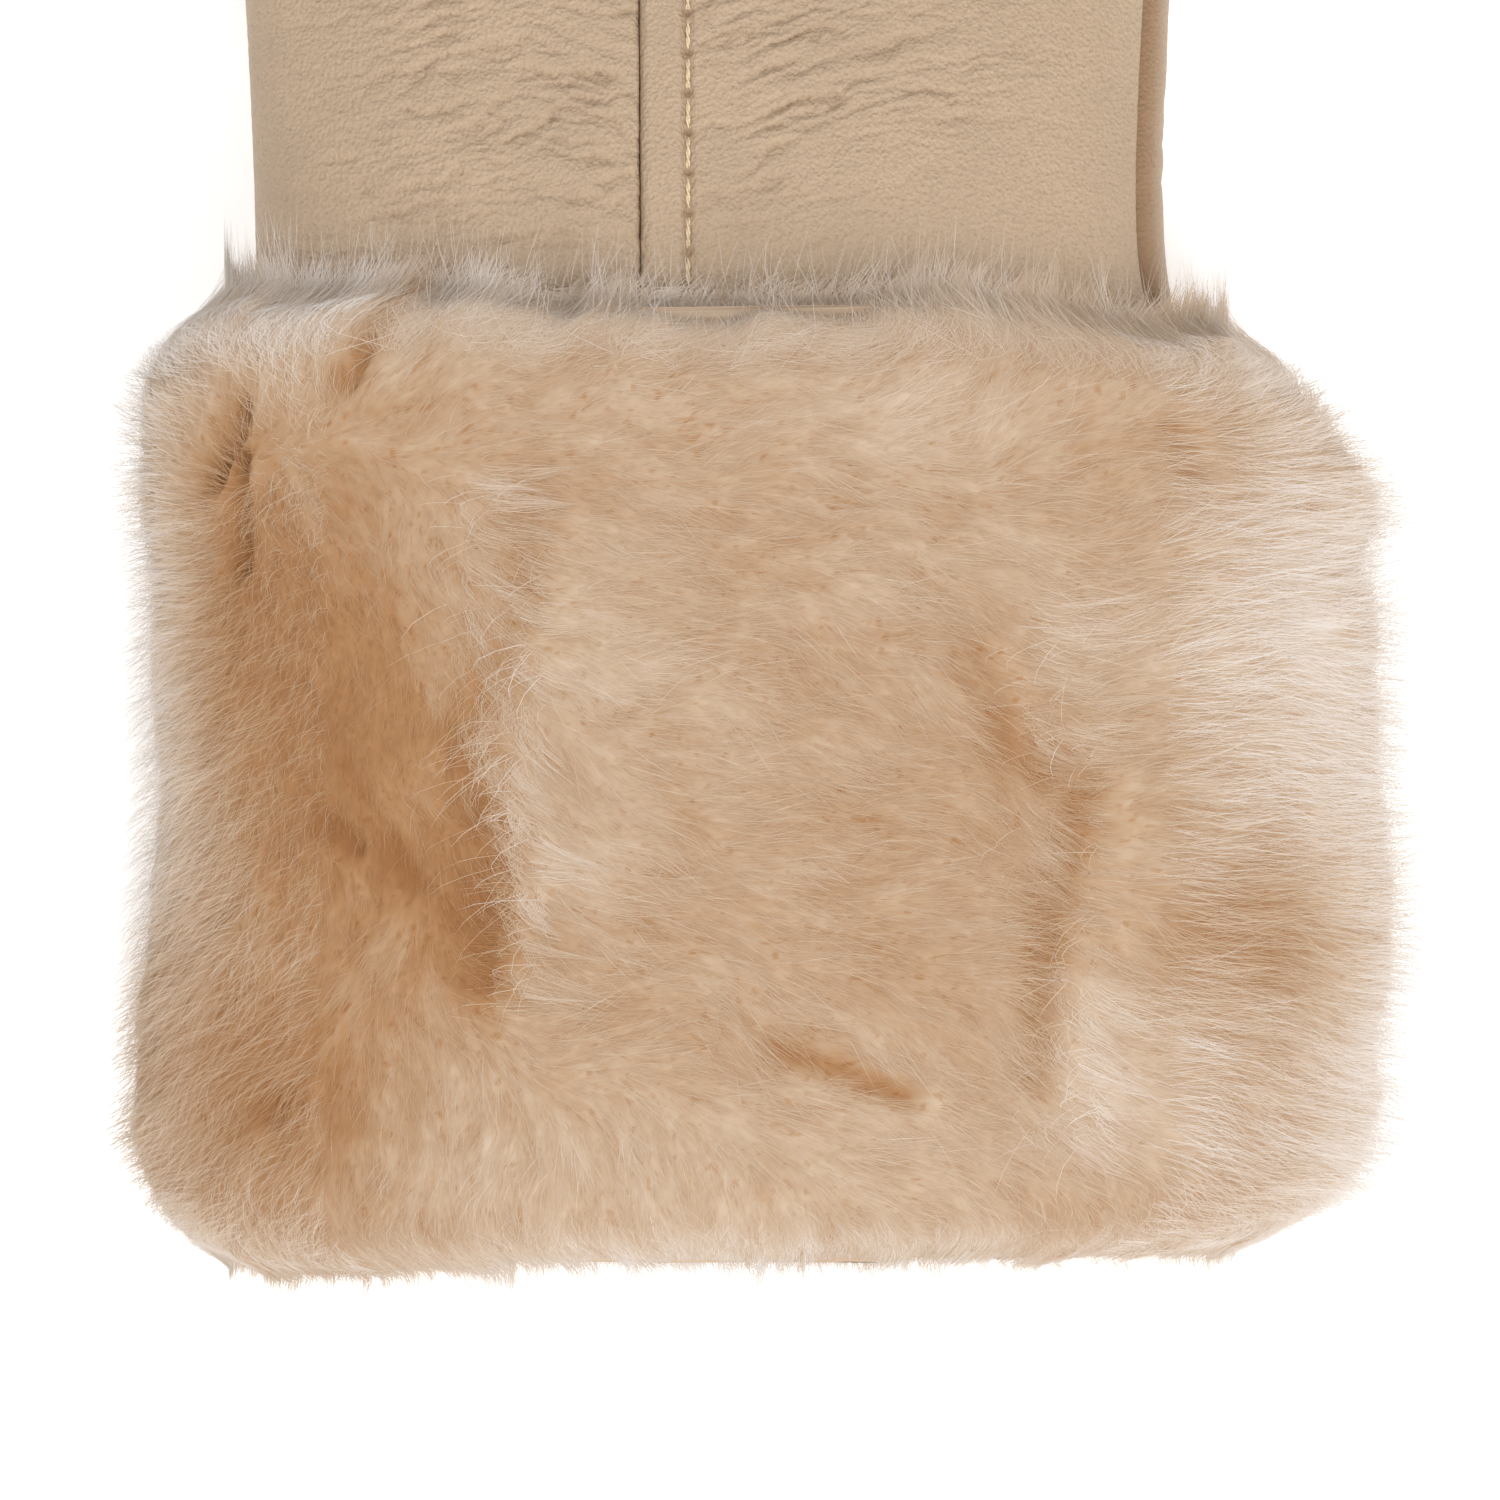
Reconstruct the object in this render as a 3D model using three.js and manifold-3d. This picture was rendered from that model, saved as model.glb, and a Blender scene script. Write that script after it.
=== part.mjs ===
// A sheepskin mitt with a deep fur cuff, lying on its palm. Millimetres, +Z up, the fingers towards +Y.
//
// The hand is a flattened tube of smooth leather, closed at the fingertips, with a wool lining inside.
// The cuff is a wider tube of pieced fur over an interlining, with its own wool lining. A thumb leaves
// the hand on its -X side. Every panel is a wall between two levels of a surface: a surface takes a turn
// angle round the tube, a station along it and a depth below the outside, and returns a point.

import * as THREE from "three";
import { ParametricGeometry } from "three/addons/geometries/ParametricGeometry.js";
import { mergeVertices } from "three/addons/utils/BufferGeometryUtils.js";
import Module from "manifold-3d";

const wasm = await Module();
wasm.setup();

// ---- hand ----
const WRIST_WIDTH = 91.5; // across the leather, lying flat, where it leaves the cuff
const WRIST_THICKNESS = 30;
const HAND_WIDTH = 104;
const HAND_THICKNESS = 32;
const HAND_LENGTH = 166; // from the top of the cuff to the fingertips
const TIP_ROUND = 52; // length over which the fingertip end rounds off
const DROOP_LENGTH = 70; // length over which the hand sinks from the cuff's height to the table
const SETTLE = 1; // how far the mitt flattens where it rests on the table
const SECTION_POWER = 2.6; // 2 is an ellipse, more is squarer
const FLARE = 2.6; // how far the side panel is drawn out by the cuff seam, on the +X side
const FLARE_FADE = 5; // length along which that flare fades

// ---- layers and clearances ----
const LEATHER = 1.2;
const WOOL = 5.5; // lining of the hand and the cuff
const THUMB_WOOL = 4;
const INTERLINING = 1;
const GAP = 0.3; // between pieces that touch
const LAYER_GAP = 0.5; // between the leather and its lining, which are faceted alike but not exactly
const THREAD = 0.6; // diameter of every seam's thread

// ---- seams ----
const BACK_SEAM_X = -6.7; // the lapped seam down the back of the hand
const TOPSTITCH_OFFSET = 4.8; // from that seam to its row of stitches
const TOPSTITCH_DEPTH = 0.5; // how deep the row sinks into the leather
const CHANNEL_SLOPE = 0.3; // width of each sloping side of the channel it lies in
const RIGHT_SEAM_RISE = 6.5; // side seam on +X, above the middle of the thickness
const LEFT_SEAM_RISE = -4; // side seam on -X, below it
const CUFF_TUCK = 6; // how far the leather reaches down inside the top of the cuff

// ---- cuff ----
const CUFF_LENGTH = 94;
const CUFF_EASE = 2.75; // how much wider the cuff's skin is than the wrist, on each side
const CUFF_EASE_THICK = 0.5;
const CUFF_SHIFT = 2; // the cuff sits this far towards +X on the wrist
const PILE_LEFT = 13.5;
const PILE_RIGHT = 18.5;
const PILE_TOP = 13;
const PILE_UNDER = 9; // pressed down by the mitt's weight
const CUFF_TOP_ROUND = 9;
const HEM_ROUND = 9;
const THIN_END = 0.2; // share of the pile's height that is left at the cuff's two ends
const LEFT_PARTING = -24.7; // seams between the fur pieces, across from the middle of the cuff
const RIGHT_PARTING = 29.8;
const UNDER_PARTING = 4;
const LEFT_WRAP_RISE = -7; // how far the side pieces wrap round, from the middle of the thickness
const RIGHT_WRAP_RISE = -7;
const HEM_BAND = 20; // height of the separate band along the hem
const HEM_TURN = 2.4; // how far inside the mouth the lining and interlining begin

// ---- thumb ----
const THUMB_START = 42; // above the top of the cuff
const THUMB_INSIDE = 32; // its root, from the middle of the hand towards -X
const THUMB_ANGLE = THREE.MathUtils.degToRad(32); // away from the fingers
const THUMB_LENGTH = 76;
const THUMB_ROOT_WIDTH = 26;
const THUMB_WIDTH = 36;
const THUMB_TIP_WIDTH = 31;
const THUMB_ROOT_THICKNESS = 24;
const THUMB_THICKNESS = 27;
const THUMB_TIP_ROUND = 17;
const THUMB_BALL = 0.4; // share of its straight length where the thumb is widest

// ---- worked out from the sizes above ----
const TAU = 2 * Math.PI;
const WRIST_HALF = WRIST_WIDTH / 2;
const WRIST_DEEP = WRIST_THICKNESS / 2;
const SKIN_HALF = WRIST_HALF + CUFF_EASE;
const SKIN_DEEP = WRIST_DEEP + CUFF_EASE_THICK;
const CUFF_MIDDLE_Z = PILE_UNDER + SKIN_DEEP - SETTLE;
const HAND_MIDDLE_Z = HAND_THICKNESS / 2 - SETTLE;
const LEATHER_START = CUFF_LENGTH - CUFF_TUCK;
const TIP_Y = CUFF_LENGTH + HAND_LENGTH;
const THREAD_SLOT = THREAD + 2 * GAP; // a gap that holds a thread
const LINING_OUT = LEATHER + LAYER_GAP;
const LINING_IN = LINING_OUT + WOOL;
const THUMB_IN = LINING_OUT + THUMB_WOOL;
const CUFF_LINING_OUT = INTERLINING + LAYER_GAP;
const CUFF_LINING_IN = CUFF_LINING_OUT + WOOL;

const smooth = (t) => THREE.MathUtils.smoothstep(t, 0, 1);
const { lerp, clamp } = THREE.MathUtils;

// A point on a superellipse of half sizes a and b: its two coordinates for a turn angle.
const bend = (c) => Math.sign(c) * Math.abs(c) ** (2 / SECTION_POWER);
const unbend = (f) => Math.sign(f) * Math.abs(f) ** (SECTION_POWER / 2);

// The turn angle on the upper side where the section is the share f of its half width across,
// and on the right or left side where it is the share f of its half thickness up.
const turnAcross = (f) => Math.acos(clamp(unbend(f), -1, 1));
const turnRight = (f) => Math.asin(clamp(unbend(f), -1, 1));
const turnLeft = (f) => Math.PI - turnRight(f);

function evenly(from, to, count) {
  return Array.from({ length: count }, (_, i) => lerp(from, to, i / (count - 1)));
}

// ---- surfaces: (turn, station, depth) to a point ----

// Height of the middle of the hand above the table, which sinks in a soft S from the cuff.
function middleHeight(y) {
  return lerp(CUFF_MIDDLE_Z, HAND_MIDDLE_Z, smooth(clamp((y - CUFF_LENGTH) / DROOP_LENGTH, 0, 1)));
}

// The hand. Stations 0 to 1 run from the leather's lower edge to where the tip begins to round,
// and 1 to 2 are a quarter turn round the tip.
function handSurface(turn, station, depth) {
  const straight = Math.min(station, 1);
  const round = (Math.max(station - 1, 0) * Math.PI) / 2;
  const end = TIP_Y - TIP_ROUND;
  const y = lerp(LEATHER_START, end, straight) + (TIP_ROUND - depth) * Math.sin(round);
  const swell = smooth(clamp((y - CUFF_LENGTH) / (end - CUFF_LENGTH), 0, 1));
  const half = lerp(WRIST_HALF, HAND_WIDTH / 2, swell) - depth;
  const deep = lerp(WRIST_DEEP, HAND_THICKNESS / 2, swell) - depth;
  const flare = FLARE * Math.exp(-Math.max(y - CUFF_LENGTH, 0) / FLARE_FADE);
  const outward = Math.max(Math.cos(turn), 0) ** 2;
  const x = half * bend(Math.cos(turn)) * Math.cos(round) ** 0.9 + flare * outward;
  const z = deep * bend(Math.sin(turn)) * Math.cos(round) ** 0.6;
  return new THREE.Vector3(x, y, Math.max(middleHeight(y) + z, depth));
}

// The skin of the cuff, a straight tube. The station is y itself.
function skinSurface(turn, y, depth) {
  const x = CUFF_SHIFT + (SKIN_HALF - depth) * bend(Math.cos(turn));
  return new THREE.Vector3(x, y, CUFF_MIDDLE_Z + (SKIN_DEEP - depth) * bend(Math.sin(turn)));
}

// The fur of the cuff. Depth 0 is the tips of the pile, and 1 is GAP above the skin. The pile is
// shorter near both ends, on a quarter circle, and flattened where it rests on the table.
function furSurface(turn, y, depth) {
  const upper = clamp((CUFF_LENGTH - y) / CUFF_TOP_ROUND, 0, 1);
  const lower = clamp(y / HEM_ROUND, 0, 1);
  const stand = (t) => lerp(THIN_END, 1, Math.sqrt(1 - (1 - t) ** 2));
  const height = (1 - depth) * Math.min(stand(upper), stand(lower));
  const side = Math.cos(turn) < 0 ? PILE_LEFT : PILE_RIGHT;
  const face = Math.sin(turn) < 0 ? PILE_UNDER : PILE_TOP;
  const x = (SKIN_HALF + GAP + height * (side - GAP)) * bend(Math.cos(turn));
  const z = (SKIN_DEEP + GAP + height * (face - GAP)) * bend(Math.sin(turn));
  return new THREE.Vector3(CUFF_SHIFT + x, y, Math.max(CUFF_MIDDLE_Z + z, 0));
}

// The thumb, along its own axis. Stations 0 to 1 are its length, and 1 to 2 the round of its tip.
function thumbSurface(turn, station, depth) {
  const straight = Math.min(station, 1);
  const round = (Math.max(station - 1, 0) * Math.PI) / 2;
  const ball = smooth(clamp(straight / THUMB_BALL, 0, 1));
  const taper = clamp((straight - THUMB_BALL) / (1 - THUMB_BALL), 0, 1);
  const width = lerp(lerp(THUMB_ROOT_WIDTH, THUMB_WIDTH, ball), THUMB_TIP_WIDTH, taper);
  const thick = lerp(THUMB_ROOT_THICKNESS, THUMB_THICKNESS, ball);
  const shaft = THUMB_LENGTH - THUMB_TIP_ROUND;
  const along = straight * shaft + (THUMB_TIP_ROUND - depth) * Math.sin(round);
  const across = (width / 2 - depth) * bend(Math.cos(turn)) * Math.cos(round) ** 0.9;
  const rest = THUMB_THICKNESS / 2 - SETTLE;
  const root = Math.max(middleHeight(CUFF_LENGTH + THUMB_START), rest);
  const up = (thick / 2 - depth) * bend(Math.sin(turn)) * Math.cos(round) ** 0.7;
  const z = lerp(root, rest, smooth(straight)) + up;
  const x = -THUMB_INSIDE - along * Math.sin(THUMB_ANGLE) + across * Math.cos(THUMB_ANGLE);
  const y = CUFF_LENGTH + THUMB_START + along * Math.cos(THUMB_ANGLE) + across * Math.sin(THUMB_ANGLE);
  return new THREE.Vector3(x, y, Math.max(z, depth));
}

// ---- solids ----

// A closed manifold solid from a geometry whose grid rows may fold together at its ends.
function solid(geometry) {
  geometry.deleteAttribute("normal");
  geometry.deleteAttribute("uv");
  const merged = mergeVertices(geometry, 1e-3);
  const index = merged.index.array;
  const kept = [];
  for (let i = 0; i < index.length; i += 3) {
    const [a, b, c] = index.slice(i, i + 3);
    if (a !== b && b !== c && c !== a) kept.push(a, b, c);
  }
  const vertProperties = new Float32Array(merged.attributes.position.array);
  const triVerts = new Uint32Array(kept);
  return new wasm.Manifold(new wasm.Mesh({ numProp: 3, vertProperties, triVerts }));
}

// A closed wall. profile(station) lists {turn, top, base} across the panel, where top and base are the
// depths of its two faces. The first and last rows fold onto the middle of the wall and close its ends.
function wall(surface, profile, stations) {
  const count = profile(stations[0]).length;
  const loop = 2 * count;
  const last = stations.length + 1;
  const rows = stations.map((station) => {
    const edge = profile(station);
    const tops = edge.map((p) => surface(p.turn, station, p.top));
    const bases = edge.map((p) => surface(p.turn, station, p.base)).reverse();
    return [...tops, ...bases];
  });
  const folded = (row) => row.map((point, j) => point.clone().add(row[loop - 1 - j]).multiplyScalar(0.5));
  const grid = [folded(rows[0]), ...rows, folded(rows[rows.length - 1])];
  const at = (u, v, target) => target.copy(grid[Math.round(v * last)][Math.round((1 - u) * loop) % loop]);
  return solid(new ParametricGeometry(at, loop, last));
}

// The closed solid inside one depth of a surface, with a flat lower end and a closed tip. steps is its
// number of sides.
function filled(surface, depth, stations, steps) {
  const last = stations.length + 1;
  const centre = (station) => {
    const [right, left] = [0, Math.PI].map((turn) => surface(turn, station, depth));
    return right.add(left).multiplyScalar(0.5);
  };
  const at = (u, v, target) => {
    const row = Math.round(v * last);
    const station = stations[clamp(row - 1, 0, stations.length - 1)];
    if (row === 0 || row === last) return target.copy(centre(station));
    return target.copy(surface(((Math.round(u * steps) % steps) / steps) * -TAU, station, depth));
  };
  return solid(new ParametricGeometry(at, steps, last));
}

// Evenly spaced turns of a panel between two seams, each seam set back by half of its gap in
// millimetres, for a wall from depth top to depth base.
function between(surface, from, to, fromGap, toGap, top, base, segments) {
  return (station) => {
    const start = setBack(surface, from, station, top, fromGap / 2);
    const stop = setBack(surface, to, station, top, -toGap / 2);
    return evenly(start, stop, segments + 1).map((turn) => ({ turn, top, base }));
  };
}

// A turn angle moved along the surface by a distance in millimetres.
function setBack(surface, turn, station, depth, distance) {
  const small = 0.002;
  const [before, after] = [turn - small, turn + small].map((t) => surface(t, station, depth));
  return turn + (distance * 2 * small) / before.distanceTo(after);
}

// A thread along straight lines between points, as a tube of six sides.
function thread(points, steps) {
  const corners = evenly(0, TAU, 7).slice(0, 6);
  const corner = (a) => new THREE.Vector2(Math.cos(a), Math.sin(a)).multiplyScalar(THREAD / 2);
  const section = new THREE.Shape(corners.map(corner));
  const extrudePath = new THREE.CatmullRomCurve3(points, false, "catmullrom", 0);
  const options = { steps, bevelEnabled: false, extrudePath };
  return solid(new THREE.ExtrudeGeometry(section, options));
}

// ---- materials ----
const finish = (color, roughness) => new THREE.MeshStandardMaterial({ color, roughness, metalness: 0 });
const leather = () => finish(0xc4aa8a, 0.5);
const wool = () => finish(0xe9dcc6, 0.95);
const fur = () => finish(0xe3c9a8, 0.95);
const cotton = () => finish(0xe8dcc0, 0.8);
const felt = () => finish(0xd9d2c4, 0.9);

const mitt = new THREE.Group();

function add(name, made, material) {
  const { vertProperties, triVerts, numProp } = made.getMesh();
  const geometry = new THREE.BufferGeometry();
  const interleaved = new THREE.InterleavedBuffer(vertProperties, numProp);
  const position = new Float32Array((vertProperties.length / numProp) * 3);
  const source = new THREE.InterleavedBufferAttribute(interleaved, 3, 0);
  for (let i = 0; i < source.count; i++) {
    position.set([source.getX(i), source.getY(i), source.getZ(i)], 3 * i);
  }
  geometry.setAttribute("position", new THREE.BufferAttribute(position, 3));
  geometry.setIndex(new THREE.BufferAttribute(triVerts, 1));
  geometry.computeVertexNormals();
  const mesh = new THREE.Mesh(geometry, material);
  mesh.name = name;
  mitt.add(mesh);
}

// ---- hand: leather panels, lining and threads ----

const HAND_SIDES = 36; // of the solids that trim the thumb
const THUMB_SIDES = 28; // of the solids that trim the hand
const handStations = [...evenly(0, 0.32, 5), ...evenly(0.46, 1, 4), ...evenly(1.12, 1.93, 8)];
const backSeam = turnAcross(BACK_SEAM_X / WRIST_HALF);
const topstitch = turnAcross((BACK_SEAM_X + TOPSTITCH_OFFSET) / WRIST_HALF);
const rightSeam = turnRight(RIGHT_SEAM_RISE / WRIST_DEEP);
const leftSeam = turnLeft(LEFT_SEAM_RISE / WRIST_DEEP);
const thumbRows = [...evenly(0, 1, 6), ...evenly(1.18, 1.95, 5)];
const thumbRoom = filled(thumbSurface, THUMB_IN, thumbRows, THUMB_SIDES);

// The right back panel, from the side seam to the back seam, with a channel for the row of stitches.
function rightBackProfile(station) {
  const top = 0;
  const base = LEATHER;
  const first = setBack(handSurface, rightSeam, station, top, THREAD_SLOT / 2);
  const last = setBack(handSurface, backSeam, station, top, -GAP / 2);
  const slot = THREAD_SLOT / 2;
  const edges = [-slot - CHANNEL_SLOPE, -slot, slot, slot + CHANNEL_SLOPE];
  const move = (distance) => setBack(handSurface, topstitch, station, top, distance);
  const [outerIn, innerIn, innerOut, outerOut] = edges.map(move);
  const plain = evenly(first, outerIn, 7).map((turn) => ({ turn, top, base }));
  const channel = [innerIn, innerOut].map((turn) => ({ turn, top: TOPSTITCH_DEPTH, base }));
  const lip = evenly(outerOut, last, 3).map((turn) => ({ turn, top, base }));
  return [...plain, ...channel, ...lip];
}

function addHand() {
  const panels = {
    back_right_panel: rightBackProfile,
    back_left_panel: between(handSurface, backSeam, leftSeam, GAP, THREAD_SLOT, 0, LEATHER, 8),
    palm_panel: between(handSurface, leftSeam, rightSeam + TAU, THREAD_SLOT, THREAD_SLOT, 0, LEATHER, 16),
  };
  for (const [name, profile] of Object.entries(panels)) {
    add(name, wall(handSurface, profile, handStations).subtract(thumbRoom), leather());
  }
  const linings = {
    back_lining: [rightSeam, leftSeam],
    palm_lining: [leftSeam, rightSeam + TAU],
  };
  for (const [name, [from, to]] of Object.entries(linings)) {
    const profile = between(handSurface, from, to, GAP, GAP, LINING_OUT, LINING_IN, 12);
    add(name, wall(handSurface, profile, handStations).subtract(thumbRoom), wool());
  }
  const stitchDepth = TOPSTITCH_DEPTH - GAP - THREAD / 2;
  const row = handStations.slice(0, -1).map((station) => handSurface(topstitch, station, stitchDepth));
  add("topstitch_thread", thread(row, 44), cotton());
}

// The side seam's thread runs up one side, round the fingertips and down the other, between the panels,
// and the thumb stops it and lets it go on below.
function addSideThread() {
  const middle = LEATHER / 2;
  const right = handStations.map((station) => handSurface(rightSeam, station, middle));
  const left = handStations.map((station) => handSurface(leftSeam, station, middle));
  const thumb = filled(thumbSurface, -GAP, thumbRows, THUMB_SIDES);
  const cut = thread([...right, ...left.reverse()], 76).subtract(thumb).decompose();
  const names = ["side_seam_thread", "side_seam_thread_below_thumb"];
  const parts = cut.sort((a, b) => b.volume() - a.volume());
  names.forEach((name, i) => add(name, parts[i], cotton()));
}

addHand();
addSideThread();

// ---- thumb ----

const thumbStations = [...evenly(0, 1, 6), ...evenly(1.18, 1.9, 5)];

function addThumb() {
  const hand = filled(handSurface, -GAP, handStations, HAND_SIDES);
  const leatherHalves = { thumb_back_panel: 0, thumb_palm_panel: Math.PI };
  for (const [name, from] of Object.entries(leatherHalves)) {
    const to = from + Math.PI;
    const profile = between(thumbSurface, from, to, THREAD_SLOT, THREAD_SLOT, 0, LEATHER, 12);
    add(name, wall(thumbSurface, profile, thumbStations).subtract(hand), leather());
  }
  const woolHalves = { thumb_back_lining: 0, thumb_palm_lining: Math.PI };
  for (const [name, from] of Object.entries(woolHalves)) {
    const to = from + Math.PI;
    const profile = between(thumbSurface, from, to, GAP, GAP, LINING_OUT, THUMB_IN, 12);
    add(name, wall(thumbSurface, profile, thumbStations).subtract(hand), wool());
  }
  const outer = thumbStations.map((station) => thumbSurface(Math.PI, station, LEATHER / 2));
  const inner = thumbStations.map((station) => thumbSurface(0, station, LEATHER / 2));
  const grown = filled(handSurface, -2 * GAP, handStations, HAND_SIDES);
  add("thumb_seam_thread", thread([...inner, ...outer.reverse()], 34).subtract(grown), cotton());
}

addThumb();

// ---- cuff ----

const quarter = evenly(0, Math.PI / 2, 5).map((a) => 1 - Math.cos(a));
const cuffStations = [
  ...quarter.map((share) => HEM_ROUND * share),
  ...evenly(HEM_BAND, CUFF_LENGTH - CUFF_TOP_ROUND, 5),
  ...quarter.slice(0, 4).reverse().map((share) => CUFF_LENGTH - CUFF_TOP_ROUND * share),
].sort((a, b) => a - b);

// Turns of the seams between the fur pieces, on the top and on the underside.
const furTurn = (x, side) => turnAcross(x / (SKIN_HALF + side));
const leftParting = furTurn(LEFT_PARTING, PILE_LEFT);
const rightParting = furTurn(RIGHT_PARTING, PILE_RIGHT);
const underParting = TAU - furTurn(UNDER_PARTING, PILE_RIGHT);
const leftWrap = turnLeft(LEFT_WRAP_RISE / SKIN_DEEP);
const rightWrap = turnRight(RIGHT_WRAP_RISE / SKIN_DEEP);

function addCuff() {
  const whole = cuffStations;
  const above = [HEM_BAND + GAP, ...whole.filter((y) => y > HEM_BAND + GAP)];
  const below = [...whole.filter((y) => y < HEM_BAND), HEM_BAND];
  const pieces = {
    cuff_left_fur: [leftParting, leftWrap, whole, 8],
    cuff_middle_fur: [rightParting, leftParting, above, 5],
    cuff_right_fur: [rightWrap, rightParting, above, 8],
    cuff_hem_fur: [rightWrap, leftParting, below, 12],
    cuff_under_left_fur: [leftWrap, underParting, whole, 7],
    cuff_under_right_fur: [underParting, rightWrap + TAU, whole, 7],
  };
  for (const [name, [from, to, stations, segments]] of Object.entries(pieces)) {
    const profile = between(furSurface, from, to, GAP, GAP, 0, 1, segments);
    add(name, wall(furSurface, profile, stations), fur());
  }
  const inside = evenly(HEM_TURN, LEATHER_START - THREAD_SLOT, 3);
  const halves = { back: 0, palm: Math.PI };
  for (const [face, from] of Object.entries(halves)) {
    const layer = (top, base) => between(skinSurface, from, from + Math.PI, GAP, GAP, top, base, 14);
    add("cuff_interlining_" + face, wall(skinSurface, layer(0, INTERLINING), inside), felt());
    add("cuff_lining_" + face, wall(skinSurface, layer(CUFF_LINING_OUT, CUFF_LINING_IN), inside), wool());
  }
}

// A thread round the whole tube, whose two ends stop short of each other.
function ring(surface, station, depth, shift) {
  const turns = evenly(0.02, TAU - 0.02, 40);
  const move = new THREE.Vector3(0, shift, 0);
  return thread(turns.map((turn) => surface(turn, station, depth).add(move)), 52);
}

function addCuffThreads() {
  const half = THREAD_SLOT / 2;
  add("cuff_seam_thread", ring(handSurface, 0, LEATHER / 2, -half), cotton());
  add("hem_thread", ring(skinSurface, HEM_TURN, half, -half), cotton());
}

addCuff();
addCuffThreads();

// The origin is under the middle of the mitt, on the table.
const whole = new THREE.Box3().setFromObject(mitt);
const middle = whole.getCenter(new THREE.Vector3());
mitt.position.set(-middle.x, -middle.y, -whole.min.z);

export default mitt;
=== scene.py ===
# %% [markdown]
# # A sheepskin mitt with a deep fur cuff
# The mitt lies on its palm: a soft leather hand with a lapped and topstitched seam down its back, and a
# wide cuff of pieced sheepskin with the wool turned outwards. We load the engineering model, which gives
# every piece its place and size, and then make each soft piece again as what it really is.

import bpy
import numpy as np
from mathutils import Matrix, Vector


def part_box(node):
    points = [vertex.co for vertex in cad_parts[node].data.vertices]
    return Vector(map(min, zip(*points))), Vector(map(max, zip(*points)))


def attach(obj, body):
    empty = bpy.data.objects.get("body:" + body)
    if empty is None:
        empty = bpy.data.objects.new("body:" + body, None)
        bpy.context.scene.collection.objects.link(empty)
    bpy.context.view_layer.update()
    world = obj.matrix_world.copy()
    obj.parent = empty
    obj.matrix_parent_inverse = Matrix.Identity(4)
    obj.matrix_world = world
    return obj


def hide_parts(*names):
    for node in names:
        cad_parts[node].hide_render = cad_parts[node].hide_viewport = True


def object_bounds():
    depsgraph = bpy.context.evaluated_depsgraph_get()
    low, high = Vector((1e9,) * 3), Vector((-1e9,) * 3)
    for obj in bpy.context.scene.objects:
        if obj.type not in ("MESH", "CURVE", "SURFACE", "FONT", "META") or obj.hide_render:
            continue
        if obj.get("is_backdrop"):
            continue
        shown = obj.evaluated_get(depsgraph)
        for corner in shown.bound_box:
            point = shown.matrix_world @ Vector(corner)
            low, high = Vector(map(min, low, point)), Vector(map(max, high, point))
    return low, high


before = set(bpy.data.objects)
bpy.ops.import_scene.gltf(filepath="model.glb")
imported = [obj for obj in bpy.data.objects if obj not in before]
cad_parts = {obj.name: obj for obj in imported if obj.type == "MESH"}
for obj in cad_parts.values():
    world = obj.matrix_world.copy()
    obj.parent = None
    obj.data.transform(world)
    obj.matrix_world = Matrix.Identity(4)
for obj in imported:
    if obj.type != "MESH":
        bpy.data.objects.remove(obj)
cad_low, cad_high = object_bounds()
print("engineering box", cad_low, cad_high)

# %% [markdown]
# ## Working in millimetres, from the hem
# A sewer measures a mitt from its hem and from the middle of the hand, in millimetres. We do the same:
# `x` is across the hand from its middle, `y` runs from the hem to the fingertips, and `z` is height above
# the table. One helper turns finished points into metres in the shared frame.

# %% The mitt's own measures
palm_low, palm_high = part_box("palm_panel")
MIDDLE_X = 500 * (palm_low.x + palm_high.x)
HEM_Y = 1000 * cad_low.y
TIP_Y = 1000 * (cad_high.y - cad_low.y)
CUFF_TOP = 94.0
TAU = 2 * np.pi
POWER = 2.6  # of every section's superellipse: 2 is an ellipse, and more is fuller at the corners
CUFF_X, CUFF_Z = 2.0, 23.5  # the middle of the cuff, across and up
SKIN_HALF_WIDTH, SKIN_HALF_THICKNESS = 48.5, 15.5
PILE_LEFT, PILE_RIGHT, PILE_TOP, PILE_BELOW = 13.5, 18.5, 13.0, 9.0  # heights of the wool
PILE_END = 9.0  # the stretch over which the wool rounds off at the hem and at the cuff's top
HAND_Z = 15.0  # the middle of the hand, once it has sunk from the cuff
WRIST_HALF_WIDTH, HAND_HALF_WIDTH = 45.75, 52.0
WRIST_HALF_THICKNESS, HAND_HALF_THICKNESS = 15.0, 16.0
TIP_ROUND = 52  # the stretch over which the fingertips round off
TIP_START = TIP_Y - TIP_ROUND
THUMB_ROOT_X, THUMB_ROOT_Y, THUMB_Z = -32.0, 136.0, 12.5
THUMB_LENGTH, THUMB_TILT = 59, np.radians(32)
BACK_SEAM_X, STITCH_OFFSET = -6.7, 4.8  # the lapped seam, and how far right of it the stitches run
LEATHER_THICKNESS = 1.2


def to_frame(points):
    """Millimetres from the hem and the middle of the hand, shifted to the frame's origin, in metres."""
    return (np.asarray(points, float) + np.array([MIDDLE_X, HEM_Y, 0.0])) * 0.001


print("middle of the hand", round(MIDDLE_X, 2), "hem", round(HEM_Y, 2), "length", round(TIP_Y, 1))

# %% [markdown]
# ## Repeatable randomness
# Leather and fur never repeat, yet the script must give the same mitt each time. A hash turns the two whole
# numbers of a grid cell into a number that looks random. Blending the four corners of a cell gives smooth
# noise, and adding finer and fainter copies gives the cloudy noise that skins show.

# %% Noise on whole arrays
def hashed(i, j, salt):
    """0 to 1 for each cell: both coordinates times large odd numbers, added, and mixed by shifts."""
    i, j = np.asarray(i, np.int64), np.asarray(j, np.int64)
    h = (i * 374761393 + j * 668265263 + salt * 974711 + 12345) & 0xFFFFFFFF
    h = ((h ^ (h >> 13)) * 1274126177) & 0xFFFFFFFF
    h = ((h ^ (h >> 16)) * 1103515245) & 0xFFFFFFFF
    return (h ^ (h >> 15)) / 4294967296.0


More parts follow.
